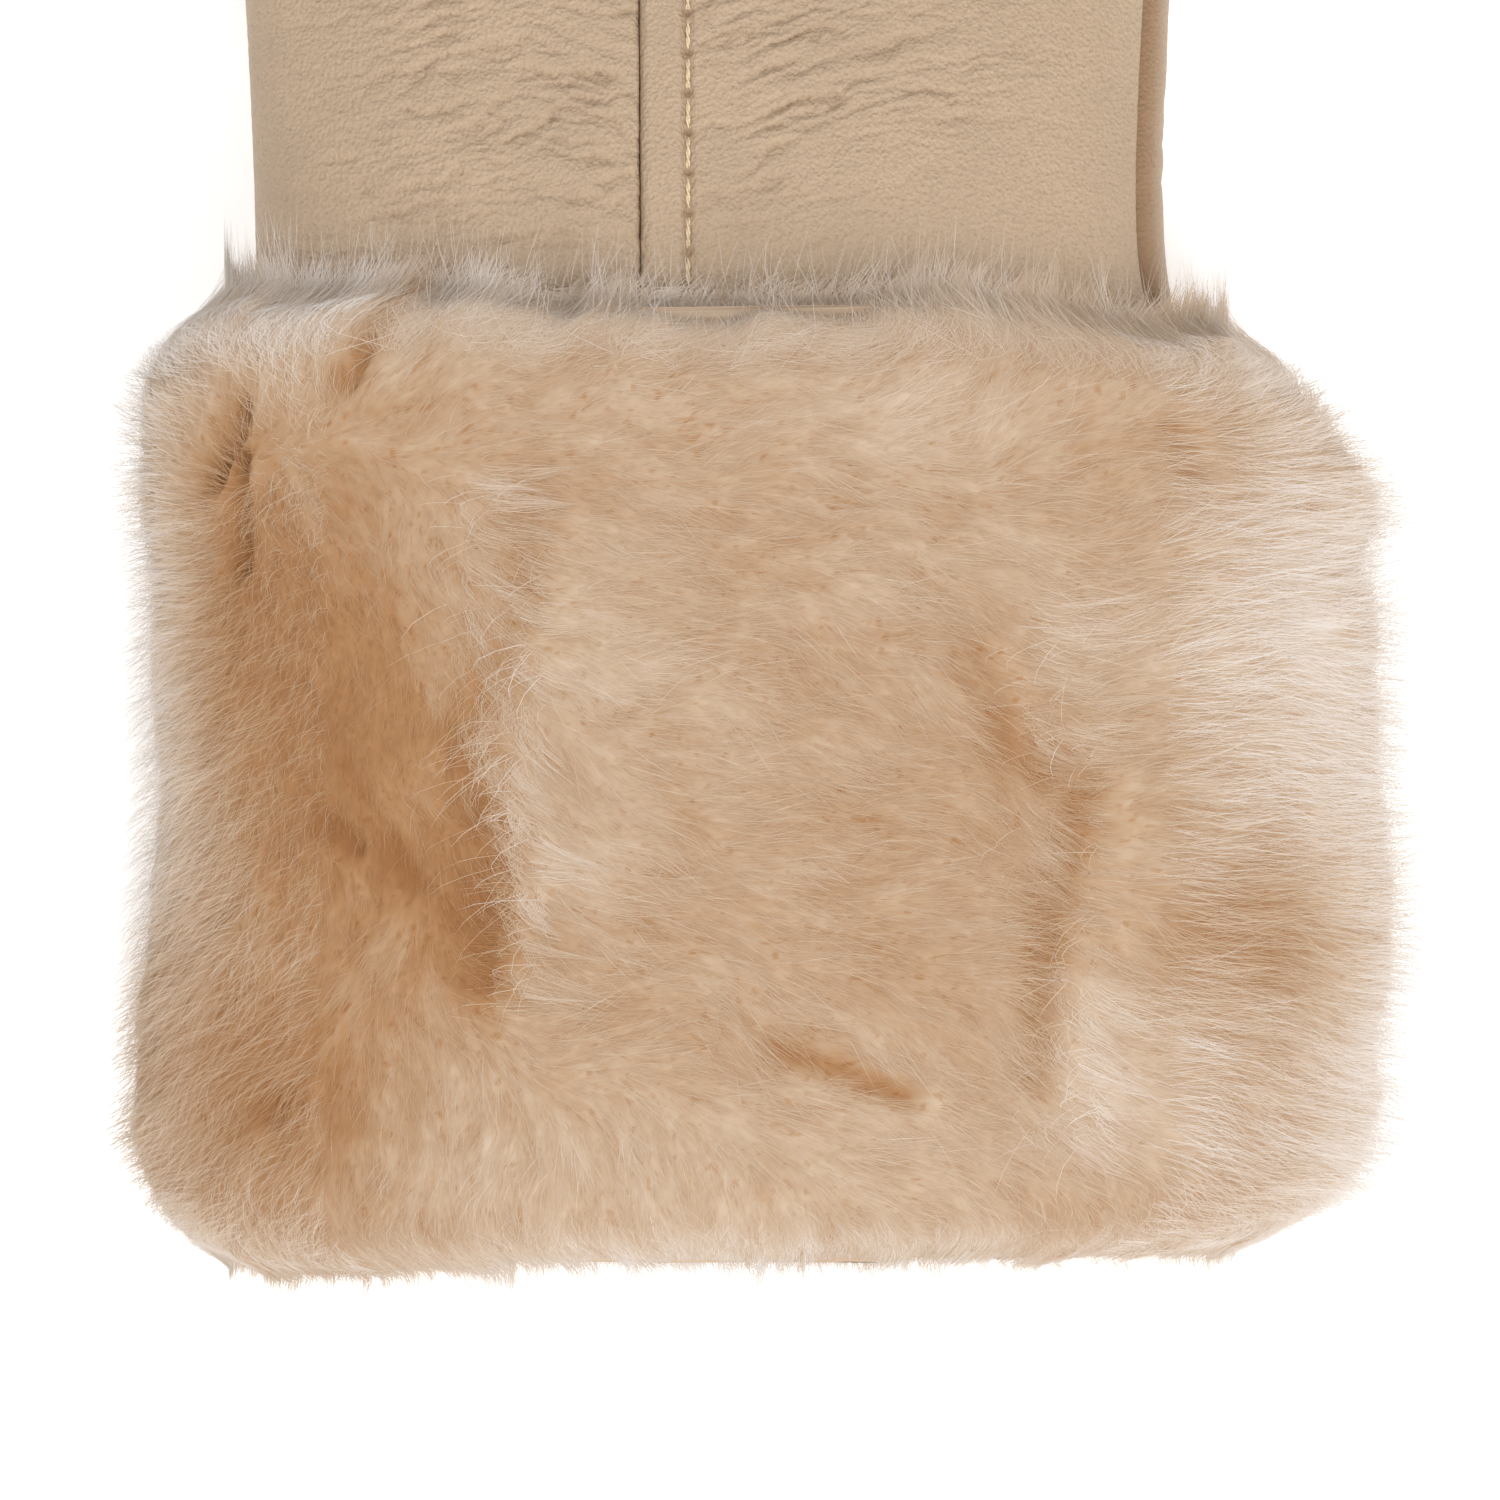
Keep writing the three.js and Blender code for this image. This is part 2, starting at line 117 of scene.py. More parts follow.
def noise(x, y, salt=0):
    """-1 to 1: the hashes at a cell's four corners, blended with the curve 6t^5 - 15t^4 + 10t^3."""
    i, j = np.floor(x), np.floor(y)
    u, v = x - i, y - j
    u, v = (t * t * t * (t * (t * 6 - 15) + 10) for t in (u, v))
    low = hashed(i, j, salt) * (1 - u) + hashed(i + 1, j, salt) * u
    high = hashed(i, j + 1, salt) * (1 - u) + hashed(i + 1, j + 1, salt) * u
    return 2 * (low * (1 - v) + high * v) - 1


def cloudy(x, y, octaves=3, salt=0):
    """A sum of noises, each twice as fine and half as strong as the last, scaled back to -1 to 1."""
    parts = [noise(x * 2**k, y * 2**k, salt + 31 * k) / 2**k for k in range(octaves)]
    return sum(parts) / (2 - 2.0 ** (1 - octaves))


def smooth(t):
    """0 to 1 with soft ends: 3t^2 - 2t^3, with t held between 0 and 1."""
    t = np.clip(t, 0, 1)
    return t * t * (3 - 2 * t)


def mix(a, b, t):
    """The value that is the share t of the way from a to b."""
    return a + (b - a) * t


def bell(distance, width):
    """A soft bump of height 1: exp(-(distance / width)^2)."""
    return np.exp(-((distance / width) ** 2))


# %% [markdown]
# ## The mitt's forms as surfaces
# Three tubes make the mitt: the hand, the fur of the cuff and the thumb. Each is a superellipse, a
# flattened round with fuller corners than an ellipse, that changes along its length. A surface here is a
# function of the turn round the tube, the station along it and the depth below its outside. These are the
# same formulas the engineering model uses, so that new pieces take exactly the place of the old.

# %% Superellipse sections
def bend(c):
    """sign(c) |c|^(2 / power), the coordinate of a superellipse."""
    return np.sign(c) * np.abs(c) ** (2 / POWER)


def unbend(f):
    """The inverse of bend: sign(f) |f|^(power / 2)."""
    return np.sign(f) * np.abs(f) ** (POWER / 2)


def turn_across(share):
    """The turn on the upper side where the section is this share of its half width across."""
    return np.arccos(unbend(share))


def turn_up(share, right):
    """The turn on the right or left side where the section is this share of its half thickness up."""
    angle = np.arcsin(unbend(share))
    return angle if right else np.pi - angle


# %% Hand, skin, fur and thumb
def middle_height(y):
    """The middle of the hand sinks from the cuff's height to its own over 70 mm, in a soft S."""
    return mix(CUFF_Z, HAND_Z, smooth((y - CUFF_TOP) / 70))


def hand_halves(y):
    """Half width and half thickness of the hand, which grow in a soft S from the wrist to the tip's start."""
    swell = smooth((y - CUFF_TOP) / (TIP_START - CUFF_TOP))
    wide = mix(WRIST_HALF_WIDTH, HAND_HALF_WIDTH, swell)
    return wide, mix(WRIST_HALF_THICKNESS, HAND_HALF_THICKNESS, swell)


def hand_at(turn, y, depth):
    """The hand's tube. At the tip its width falls as cos^0.9 and its thickness as cos^0.6 of the angle
    whose sine is the share of the rounding used. Its right side flares 2.6 mm into the cuff, and the
    table flattens it."""
    sine = np.clip((y - TIP_START) / (TIP_ROUND - depth), 0, 1)
    cosine = np.sqrt(np.maximum(1 - sine**2, 0))
    wide, thick = hand_halves(y)
    flare = 2.6 * np.exp(-np.maximum(y - CUFF_TOP, 0) / 5) * np.maximum(np.cos(turn), 0) ** 2
    x = (wide - depth) * bend(np.cos(turn)) * cosine**0.9 + flare
    z = middle_height(y) + (thick - depth) * bend(np.sin(turn)) * cosine**0.6
    return np.stack(np.broadcast_arrays(x, y, np.maximum(z, depth)), -1)


def skin_at(turn, y, depth):
    """The cuff's skin, a straight tube 97 mm wide and 31 mm thick."""
    x = CUFF_X + (SKIN_HALF_WIDTH - depth) * bend(np.cos(turn))
    z = CUFF_Z + (SKIN_HALF_THICKNESS - depth) * bend(np.sin(turn))
    return np.stack(np.broadcast_arrays(x, y, z), -1)


def fur_at(turn, y, depth):
    """The fur's tube round the skin: depth 0 is the tips, and 1 is 0.3 mm above the skin. The pile's
    height falls on a quarter circle to a fifth at both ends."""
    ends = np.minimum(np.clip((CUFF_TOP - y) / PILE_END, 0, 1), np.clip(y / PILE_END, 0, 1))
    height = (1 - depth) * mix(0.2, 1.0, np.sqrt(np.maximum(1 - (1 - ends) ** 2, 0)))
    side = np.where(np.cos(turn) < 0, PILE_LEFT, PILE_RIGHT)
    face = np.where(np.sin(turn) < 0, PILE_BELOW, PILE_TOP)
    above = 0.3
    x = CUFF_X + (SKIN_HALF_WIDTH + above + height * (side - above)) * bend(np.cos(turn))
    z = CUFF_Z + (SKIN_HALF_THICKNESS + above + height * (face - above)) * bend(np.sin(turn))
    return np.stack(np.broadcast_arrays(x, y, np.maximum(z, 0.05)), -1)


def thumb_axis(straight):
    """Height of the thumb's axis, sinking in a soft S from the hand's middle, and how far the ball of the
    thumb has swelled, 0 to 1 over the first 0.4 of its length."""
    root = max(float(middle_height(THUMB_ROOT_Y)), THUMB_Z)
    return mix(root, THUMB_Z, smooth(straight)), smooth(straight / 0.4)


def thumb_at(turn, station, depth):
    """The thumb along its own tilted axis: station 0 to 1 is its straight length and 1 to 2 a quarter
    turn round its tip. It is 26 mm wide at the root, 36 at the ball and 31 where the tip starts, and 24
    to 27 mm thick."""
    straight = np.minimum(station, 1)
    arc = np.maximum(station - 1, 0) * np.pi / 2
    axis, ball = thumb_axis(straight)
    width = mix(mix(26, 36, ball), 31, np.clip((straight - 0.4) / 0.6, 0, 1))
    along = straight * THUMB_LENGTH + (17 - depth) * np.sin(arc)
    across = (width / 2 - depth) * bend(np.cos(turn)) * np.cos(arc) ** 0.9
    up = (mix(24, 27, ball) / 2 - depth) * bend(np.sin(turn)) * np.cos(arc) ** 0.7
    x = THUMB_ROOT_X - along * np.sin(THUMB_TILT) + across * np.cos(THUMB_TILT)
    y = THUMB_ROOT_Y + along * np.cos(THUMB_TILT) + across * np.sin(THUMB_TILT)
    return np.stack(np.broadcast_arrays(x, y, np.maximum(axis + up, depth)), -1)


knuckles = hand_at(0.0, np.array(200.0), 0.0)
print("sections ready, the hand is", round(2 * float(knuckles[0]), 1), "mm wide at y = 200")

# %% [markdown]
# ## From grids to pieces
# A sewn panel is a wall: an outer face, an inner face and rims. On a grid that is a loop, across the
# outside and back along the inside, carried along the panel, with its first and last rows folded shut.
# One function joins such a grid into a mesh, and another measures the outward direction of each point.

# %% Meshes from grids
def outward(grid):
    """Unit normals of a grid: the cross product of its differences along rows and along columns."""
    down, across = np.gradient(grid, axis=0), np.gradient(grid, axis=1)
    normal = np.cross(down, across)
    return normal / np.maximum(np.linalg.norm(normal, axis=-1, keepdims=True), 1e-9)


def facing_out(points, faces):
    """The quads, turned round if the volume they enclose, the sum of a . (b x c) / 6, is negative."""
    a, b, c, d = (points[faces[:, k]] for k in range(4))
    volume = (a * np.cross(b, c)).sum() + (a * np.cross(c, d)).sum()
    return faces if volume > 0 else faces[:, ::-1]


def new_piece(name, points, faces, material, nodes, attributes=None):
    """A closed mesh from millimetre points and quads, facing out, riding on the mitt's one body."""
    mesh = bpy.data.meshes.new(name)
    mesh.from_pydata(to_frame(points), [], facing_out(points, faces).tolist())
    mesh.update()
    mesh.polygons.foreach_set("use_smooth", np.ones(len(mesh.polygons), bool))
    for key, values in (attributes or {}).items():
        layer = mesh.attributes.new(key, "FLOAT", "POINT")
        layer.data.foreach_set("value", np.asarray(values, np.float32).ravel())
    piece = bpy.data.objects.new(name, mesh)
    bpy.context.scene.collection.objects.link(piece)
    mesh.materials.append(material)
    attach(piece, "root")
    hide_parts(*nodes)
    return piece


def loop_faces(rows, columns):
    """Quads of a grid whose last column joins its first, with one fan of quads closing each end."""
    i, j = np.meshgrid(np.arange(rows - 1), np.arange(columns), indexing="ij")
    k = (j + 1) % columns
    sides = np.stack([i * columns + j, i * columns + k, (i + 1) * columns + k, (i + 1) * columns + j], -1)
    half = columns // 2
    a = np.arange(half - 1)
    cap = np.stack([a, columns - 1 - a, columns - 2 - a, a + 1], -1)
    end = (rows - 1) * columns + cap[:, ::-1]
    return np.concatenate([sides.reshape(-1, 4), cap, end])


def wall_faces(solid):
    """Quads of a wall between two equal grids, with one cell for each entry of solid: both faces of each
    solid cell, and a rim on each of its sides that has no solid neighbour."""
    columns, points = solid.shape[1] + 1, (solid.shape[0] + 1) * (solid.shape[1] + 1)
    i, j = np.nonzero(solid)
    a = i * columns + j
    b, c, d = a + 1, a + columns + 1, a + columns
    faces = [np.stack([a, b, c, d], -1), np.stack([a, d, c, b], -1) + points]
    ringed = np.pad(solid, 1)
    for p, q, down, right in ((a, b, -1, 0), (b, c, 0, 1), (c, d, 1, 0), (d, a, 0, -1)):
        bare = ~ringed[i + 1 + down, j + 1 + right]
        faces.append(np.stack([q, p, p + points, q + points], -1)[bare])
    return np.concatenate(faces)


def wall(name, face, back, material, nodes, tone, key, solid=None):
    """A closed wall between two equal grids, without the cells that are not solid. tone is a value for each
    point of both grids, stored under key for the material to read."""
    if solid is None:
        solid = np.ones((face.shape[0] - 1, face.shape[1] - 1), bool)
    used, faces = np.unique(wall_faces(solid), return_inverse=True)
    points = np.concatenate([face.reshape(-1, 3), back.reshape(-1, 3)])[used]
    return new_piece(name, points, faces.reshape(-1, 4), material, nodes, {key: tone[used]})


# %% Where the thumb joins the hand
def inside_hand(points, depth):
    """Whether points lie inside the hand's tube at a depth: its superellipse sum is below 1. The share up
    is held at 0.93, because the table flattens the tube."""
    x, y, z = np.moveaxis(points, -1, 0)
    wide, thick = hand_halves(y)
    across = np.abs(x) / (wide - depth)
    up = np.minimum(np.abs(z - middle_height(y)) / (thick - depth), 0.93)
    return across**POWER + up**POWER < 1


def inside_thumb(points, depth):
    """Whether points lie inside the thumb's tube at a depth, from their own station and section."""
    x, y, z = np.moveaxis(points, -1, 0)
    sine, cosine = np.sin(THUMB_TILT), np.cos(THUMB_TILT)
    x, y = x - THUMB_ROOT_X, y - THUMB_ROOT_Y
    along, across = -x * sine + y * cosine, x * cosine + y * sine
    axis, ball = thumb_axis(np.clip(along / THUMB_LENGTH, 0, 1))
    across = np.abs(across) / (mix(26, 36, ball) / 2 - depth)
    up = np.abs(z - axis) / (mix(24, 27, ball) / 2 - depth)
    return across**POWER + up**POWER < 1


def kept_cells(grid, depth):
    """The cells of a grid that are not inside the thumb, judged at each cell's first corner. The thumb
    only reaches the hand's left side, beyond x = -25."""
    return ~(inside_thumb(grid[:-1, :-1], depth) & (grid[:-1, :-1, 0] < -25))


def thumb_rows(turns, depth, below, straight_rows, tip_rows):
    """Stations for each turn: even steps from where the thumb leaves the hand's tube to the end of its
    straight length, then even steps round its tip. below is how deep in the hand it starts."""
    stations = np.linspace(0, 1, 300)
    held = inside_hand(thumb_at(turns[None, :], stations[:, None], np.full((1, 1), depth)), below)
    start = np.where(held.any(axis=0), stations[len(stations) - 1 - np.argmax(held[::-1], axis=0)], 0.0)
    first = mix(start[None, :], 1.0, np.linspace(0, 1, straight_rows)[:, None])
    last = np.broadcast_to(np.linspace(1, 1.998, tip_rows)[1:, None], (tip_rows - 1, len(turns)))
    return np.concatenate([first, last]), start


# %% [markdown]
# ## Leather: how it creases
# Soft leather that covers a thick lining creases where it has been squeezed and stays plump where it is
# stretched. Creases are narrow valleys between rounded cushions, they run in long wavy lines across the
# pull, and they crowd together beside a stiff seam. We take smooth noise, stretched along the crease
# direction and warped, and dig a narrow valley wherever it passes through zero.

# %% Crease field
def crease_lines(along, across, pitch, salt):
    """Depth from 0 to 1 of a family of creases: a ruler of lines one pitch apart, bent by two noises. Each
    numbered line comes and goes by its own noise. A crease is exp(-offset / width), sharp at the bottom,
    and twice as wide on its lower side."""
    slow = cloudy(along / 13, across / 6, 2, salt)
    quick = cloudy(along / 3.6, across / 2.4, 3, salt + 7)
    ruler = across / pitch + (slow + 0.75 * quick)
    number = np.round(ruler)
    offset = ruler - number
    alive = smooth(0.62 + 1.4 * noise(along / 5.5, number * 3.7, salt + 13))
    return alive * np.exp(-np.abs(offset) / np.where(offset > 0, 0.11, 0.24))


def back_creases(x, y):
    """Height of the creases in millimetres, and the painted shade that darkens their bottoms. Left of the
    seam they arch over and dip to it, and right of it they climb from the stitches at about 25 degrees and
    flatten out. Two rulers are used, 2.5 and 1.15 mm apart, and the creases fade away from the cuff and
    towards both sides."""
    left, past_seam = x < BACK_SEAM_X, x - BACK_SEAM_X
    arch = np.where(left, 3.4 * bell(x + 16, 15), 0.46 * past_seam - 0.0052 * past_seam**2)
    across = y - arch
    ease = mix(0, 22, smooth((y - 97) / 26))
    reach = np.where(
        left,
        mix(0.12, 1.0, smooth((x + 46) / 14)) * mix(0.4, 1.0, smooth((y - 97) / 7)),
        mix(1.0, 0.12, smooth((x - ease) / 18)) * mix(0.35, 1.0, smooth((y - 96) / 8)),
    )
    strength = reach * mix(0.45, 1.0, smooth(0.5 + 0.9 * cloudy(x / 13, y / 9, 2, 8)))
    coarse = crease_lines(x, across, 2.5, 11)
    fine = crease_lines(x * 1.4 + 40, across, 1.15, 21)
    puff = cloudy(x / 3.4, across / 1.5, 3, 31)
    height = strength * (0.20 * puff - 0.50 * coarse - 0.34 * fine)
    # The second value is painted shade in the bottoms of the creases.
    return height, strength * np.clip(0.62 * coarse**2 + 0.26 * fine**2, 0, 1)


# %% [markdown]
# ## Leather material
# Nappa leather is smooth and matte, a warm sand colour, with a faint mottling from the dye and fine pores.
# The bottoms of its creases and seams are darker, which is painted shade. The pores are bump, read from
# the object's own coordinates. The creases are real, and they pass their depth to the colour as a value
# stored on each point, which darkens it there as painted shade.

# %% Shader helpers
def principled(name, **sockets):
    """A material with one Principled shader and plain values on its sockets."""
    material = bpy.data.materials.new(name)
    material.use_nodes = True
    shader = material.node_tree.nodes["Principled BSDF"]
    for key, value in sockets.items():
        shader.inputs[key.replace("_", " ")].default_value = value
    return material, material.node_tree, shader


def node(tree, kind, inputs=None, **settings):
    """One shader node with its settings and input values; a socket given as an input is linked."""
    made = tree.nodes.new(kind)
    for key, value in settings.items():
        setattr(made, key, value)
    for key, value in (inputs or {}).items():
        if isinstance(value, bpy.types.NodeSocket):
            tree.links.new(value, made.inputs[key])
        else:
            made.inputs[key].default_value = value
    return made


def ramp(tree, factor, stops):
    """A colour ramp through (position, colour) stops."""
    made = node(tree, "ShaderNodeValToRGB", {"Fac": factor})
    while len(made.color_ramp.elements) < len(stops):
        made.color_ramp.elements.new(0.5)
    for element, (position, colour) in zip(made.color_ramp.elements, stops):
        element.position = position
        element.color = (*colour, 1)
    return made.outputs["Color"]


def blended(tree, low, high, factor):
    """The colour that is the factor's share of the way from low to high, which are colours or sockets."""
    made = node(tree, "ShaderNodeMix", data_type="RGBA")
    for index, value in ((6, low), (7, high), (0, factor)):
        if isinstance(value, bpy.types.NodeSocket):
            tree.links.new(value, made.inputs[index])
        else:
            made.inputs[index].default_value = (*value, 1) if isinstance(value, tuple) else value
    return made.outputs[2]


# %% Nappa leather
def nappa(name, tone):
    """Sand leather: mottled by two noises, with painted shade where the point's crease value is high, and
    pores.
    """
    material, tree, shader = principled(name, Roughness=0.58, Specular_IOR_Level=0.3)
    place = node(tree, "ShaderNodeTexCoord").outputs["Object"]
    cloud = node(tree, "ShaderNodeTexNoise", {"Vector": place, "Scale": 90, "Detail": 4, "Roughness": 0.6})
    speck = node(tree, "ShaderNodeTexNoise", {"Vector": place, "Scale": 2600, "Detail": 2, "Roughness": 0.7})
    dark, pale, deep = (tuple(share * c for c in tone) for share in (0.93, 1.05, 0.80))
    body = ramp(tree, cloud.outputs["Fac"], [(0.30, dark), (0.70, pale)])
    specked = ramp(tree, speck.outputs["Fac"], [(0.28, (0.9,) * 3), (0.52, (0.0,) * 3)])
    body = blended(tree, body, deep, specked)
    crease = node(tree, "ShaderNodeAttribute", attribute_name="crease").outputs["Fac"]
    # Painted shade: the crease value darkens the colour towards dark brown in creases, seams and needle
    # holes.
    painted_crease_shade = node(tree, "ShaderNodeMath", {0: crease, 1: 0.55}, operation="MULTIPLY").outputs[0]
    body = blended(tree, body, (0.24, 0.13, 0.06), painted_crease_shade)
    tree.links.new(body, shader.inputs["Base Color"])
    pores = node(tree, "ShaderNodeTexVoronoi", {"Vector": place, "Scale": 2300, "Randomness": 1.0})
    both = {0: pores.outputs["Distance"], 1: speck.outputs["Fac"]}
    grain = node(tree, "ShaderNodeMath", both, operation="ADD").outputs[0]
    bump = node(tree, "ShaderNodeBump", {"Height": grain, "Strength": 0.6, "Distance": 0.00025})
    tree.links.new(bump.outputs["Normal"], shader.inputs["Normal"])
    return material


leather = nappa("sand nappa leather", (0.432, 0.316, 0.213))
print("leather material ready")

# %% [markdown]
# ## Leather panels
# Each panel is cut between two seams. Its outer face follows the hand's tube, pushed out or in along the
# normal by a height: creases, a roll down into each seam, and on the right panel the raised strip and the
# pulled-in row of stitches. Rows are close together near the cuff, where most creases lie, and wider
# towards the fingertips.

# %% Seams and rows
BACK_SEAM = float(turn_across(BACK_SEAM_X / WRIST_HALF_WIDTH))
STITCH_ROW = float(turn_across((BACK_SEAM_X + STITCH_OFFSET) / WRIST_HALF_WIDTH))
RIGHT_SEAM = float(turn_up(6.5 / WRIST_HALF_THICKNESS, True))  # 6.5 mm above the middle
LEFT_SEAM = float(turn_up(-4 / WRIST_HALF_THICKNESS, False))  # 4 mm below it
STITCH_PITCH = 4.05
SEAM_START, SEAM_END = 89, TIP_Y - 3.5  # the rows of stitches, from inside the cuff to the fingertips
TO_THE_POLE = np.linspace(0, 0.4995 * np.pi, 30)  # angles of the rows that round off the fingertips


def run_along(line):
    """The running length at each point of a line: the sum of the steps before it."""
    return np.concatenate([[0], np.cumsum(np.linalg.norm(np.diff(line, axis=0), axis=1))])


def run_across(grid):
    """The running length along each row of a grid."""
    steps = np.linalg.norm(np.diff(grid, axis=1), axis=-1)
    return np.concatenate([np.zeros((len(grid), 1)), np.cumsum(steps, axis=1)], axis=1)


def even_turns(surface, start, stop, count, depth=0.0):
    """Turns spaced evenly by length round the section at y = 110: the running length, read back at even
    steps."""
    fine = np.linspace(start, stop, 2000)
    run = run_along(surface(fine, np.full_like(fine, 110.0), depth))
    return np.interp(np.linspace(0, run[-1], count), run, fine)


def hand_rows(fine, coarse):
    """Stations from inside the cuff to the fingertips: 1 mm steps under the fur's edge, fine steps to
    y = 128, coarse steps to the tip's start, and then steps that follow its rounding."""
    hidden, near = np.arange(88.5, 93, 1.0), np.arange(93, 128, fine)
    far = np.arange(128, TIP_START, coarse)
    return np.concatenate([hidden, near, far, TIP_START + TIP_ROUND * np.sin(TO_THE_POLE)])


def leather_wall(name, surface, turns, stations, grid, height, crease, nodes, solid=None):
    """A leather wall: the grid raised by its height along its normal, but never into the table, over an
    inner face one thickness below. The painted shade of creases and seams darkens the outer face only."""
    face = grid + outward(grid) * height[..., None]
    face[..., 2] = np.maximum(face[..., 2], 0.0)
    back = surface(turns[None, :], stations, np.full((1, 1), LEATHER_THICKNESS))
    tone = np.concatenate([crease.ravel(), np.zeros(crease.size)])
    return wall(name, face, back, leather, nodes, tone, "crease", solid)


def panel(name, start, stop, columns, rows, relief, nodes):
    """A leather wall from turn start to stop, with a hole for the thumb. relief(x, y, from_start,
    from_stop) gives its height and its painted shade, from the distances to both seams."""
    turns = even_turns(hand_at, start, stop, columns)
    grid = hand_at(turns[None, :], rows[:, None], np.zeros((1, 1)))
    run = run_across(grid)
    height, crease = relief(grid[..., 0], grid[..., 1], run, run[:, -1:] - run)
    solid = kept_cells(grid, LEATHER_THICKNESS)
    return leather_wall(name, hand_at, turns, rows[:, None], grid, height, crease, nodes, solid)


def seam_roll(distance, depth=1.0, width=0.32):
    """A panel's edge rolls down into its seam: -depth exp(-(distance / width)^2), with a wider dip."""
    return -depth * bell(distance, width) - 0.18 * bell(distance, 2.6)


# %% The three panels of the hand
def needle_marks(y, distance):
    """Pits where the needle went through, at each end of each stitch."""
    phase = (y / STITCH_PITCH) % 1
    ends = bell(np.minimum(phase, 1 - phase) * STITCH_PITCH, 0.34)
    return ends * bell(distance, 0.42)


def puckers(x, y, distance):
    """Small folds that leave the row of stitches and fade over 7 mm, one from each stitch, slanting down."""
    phase = (y + 1.4 * distance + 0.8 * noise(x / 3, y / 6, 51)) / STITCH_PITCH
    return np.sin(TAU * phase) * np.exp(-np.abs(distance) / 3.2) * smooth(np.abs(distance) / 0.8)


def right_relief(x, y, from_start, from_stop):
    """The right panel: its side seam is at from_start 0, its raised strip and back seam at from_stop 0."""
    creases, dark = back_creases(x, y)
    row = from_stop - STITCH_OFFSET
    beyond, pits = smooth(row / 1.6), needle_marks(y, row)
    strip = 0.42 * smooth(from_stop / 0.9) * smooth((5.0 - from_stop) / 1.3)
    height = creases * mix(0.12, 1.0, beyond) + strip - 0.40 * bell(row, 0.55) - 0.45 * pits
    height = height + 0.10 * puckers(x, y, np.maximum(row, 0)) * (row > 0)
    height = height + seam_roll(from_stop, 0.32 + 0.2 * noise(y / 1.5, 0 * y, 63), 0.17)
    height = height + seam_roll(from_start, 1.0, 0.6)
    # Painted shade: the creases, the seam grooves, the stitch channel and the needle holes darken the colour.
    groove_shade = 0.55 * bell(from_stop, 0.14) + 0.75 * bell(from_start, 0.5) + 0.55 * bell(row, 0.36)
    return height, np.clip(dark * beyond + (groove_shade + 0.6 * pits), 0, 1)


def left_relief(x, y, from_start, from_stop):
    """The left panel: the back seam is at from_start 0 and the left side seam at from_stop 0. Small
    gathers, 3.1 mm apart, leave the back seam and fade as exp(-distance / 4)."""
    creases, dark = back_creases(x, y)
    wave = np.sin(TAU * (y + 0.5 * x + 1.2 * noise(x / 5, y / 5, 61)) / 3.1)
    height = creases + 0.16 * wave * np.exp(-from_start / 4) * smooth(from_start / 0.8)
    height = height + seam_roll(from_start, 0.32 + 0.25 * noise(y / 1.5, 0 * y, 64), 0.17)
    height = height + seam_roll(from_stop, 1.0, 0.6)
    # Painted shade: the creases and both seam grooves darken the colour.
    groove_shade = 0.55 * bell(from_start, 0.15) + 0.7 * bell(from_stop, 0.5)
    return height, np.clip(dark + groove_shade, 0, 1)


def palm_relief(x, y, from_start, from_stop):
    """The palm: broad soft folds, deeper near the cuff, and a roll into both side seams, with painted shade
    in the folds, in both seams and in a band beside the right side seam.
    """
    folds = crease_lines(x + 90, y + 3 * bell(x, 25), 4.5, 71) * mix(0.8, 0.3, smooth((y - 110) / 60))
    height = -0.26 * folds + 0.12 * cloudy(x / 9, y / 6, 2, 75)
    near = np.minimum(from_start, from_stop)
    # Painted shade: the folds, the seams and a 3.5 mm band beside the right side seam darken the colour.
    dark = 0.4 * folds**2 + 0.7 * bell(near, 0.5) + 1.3 * bell(from_stop, 3.5)
    return height + seam_roll(near, 1.0, 0.7), np.clip(dark, 0, 1.4)


fine_rows, plain_rows = hand_rows(0.26, 1.5), hand_rows(0.8, 1.6)
lap_gap, side_gap = 0.001, 0.006  # turns left open at the lapped back seam and at each side seam
for name, start, stop, columns, rows, relief, nodes in (
    ("back_left_leather", BACK_SEAM + lap_gap, LEFT_SEAM - side_gap, 170, fine_rows, left_relief,
     ["back_left_panel"]),
    ("back_right_leather", RIGHT_SEAM + side_gap, BACK_SEAM - lap_gap, 215, fine_rows, right_relief,
     ["back_right_panel"]),
    ("palm_leather", LEFT_SEAM + side_gap, RIGHT_SEAM + TAU - side_gap, 160, plain_rows, palm_relief,
     ["palm_panel"]),
):
    piece = panel(name, start, stop, columns, rows, relief, nodes)
    print(piece.name, len(piece.data.polygons), "faces")

# %% [markdown]
# ## Thread
# The topstitching is a heavy cotton thread of two twisted plies. It dives into the leather at each end of
# a stitch and lies proud of the channel between. Two round strands wound about each other, repeated for
# each stitch, make it. Each strand is a small tube carried along the stitch's own arch.

# %% Cotton material
def twisted_cotton(name, tone):
    """Matte cream cotton with fine fibres across it and a darker tone in hollows of the noise."""
    material, tree, shader = principled(name, Roughness=0.85, Specular_IOR_Level=0.2)
    place = node(tree, "ShaderNodeTexCoord").outputs["Object"]
    fibre = node(tree, "ShaderNodeTexNoise", {"Vector": place, "Scale": 5200, "Detail": 2})
    shade = ramp(tree, fibre.outputs["Fac"], [(0.32, tuple(0.72 * c for c in tone)), (0.62, tone)])
    tree.links.new(shade, shader.inputs["Base Color"])
    relief = {"Height": fibre.outputs["Fac"], "Strength": 0.35, "Distance": 0.0001}
    bump = node(tree, "ShaderNodeBump", relief)
    tree.links.new(bump.outputs["Normal"], shader.inputs["Normal"])
    return material


cotton = twisted_cotton("cream cotton thread", (0.74, 0.58, 0.38))


# %% Stitches along a line
TWIST_LENGTH = 2.3  # one whole turn of the two plies about each other


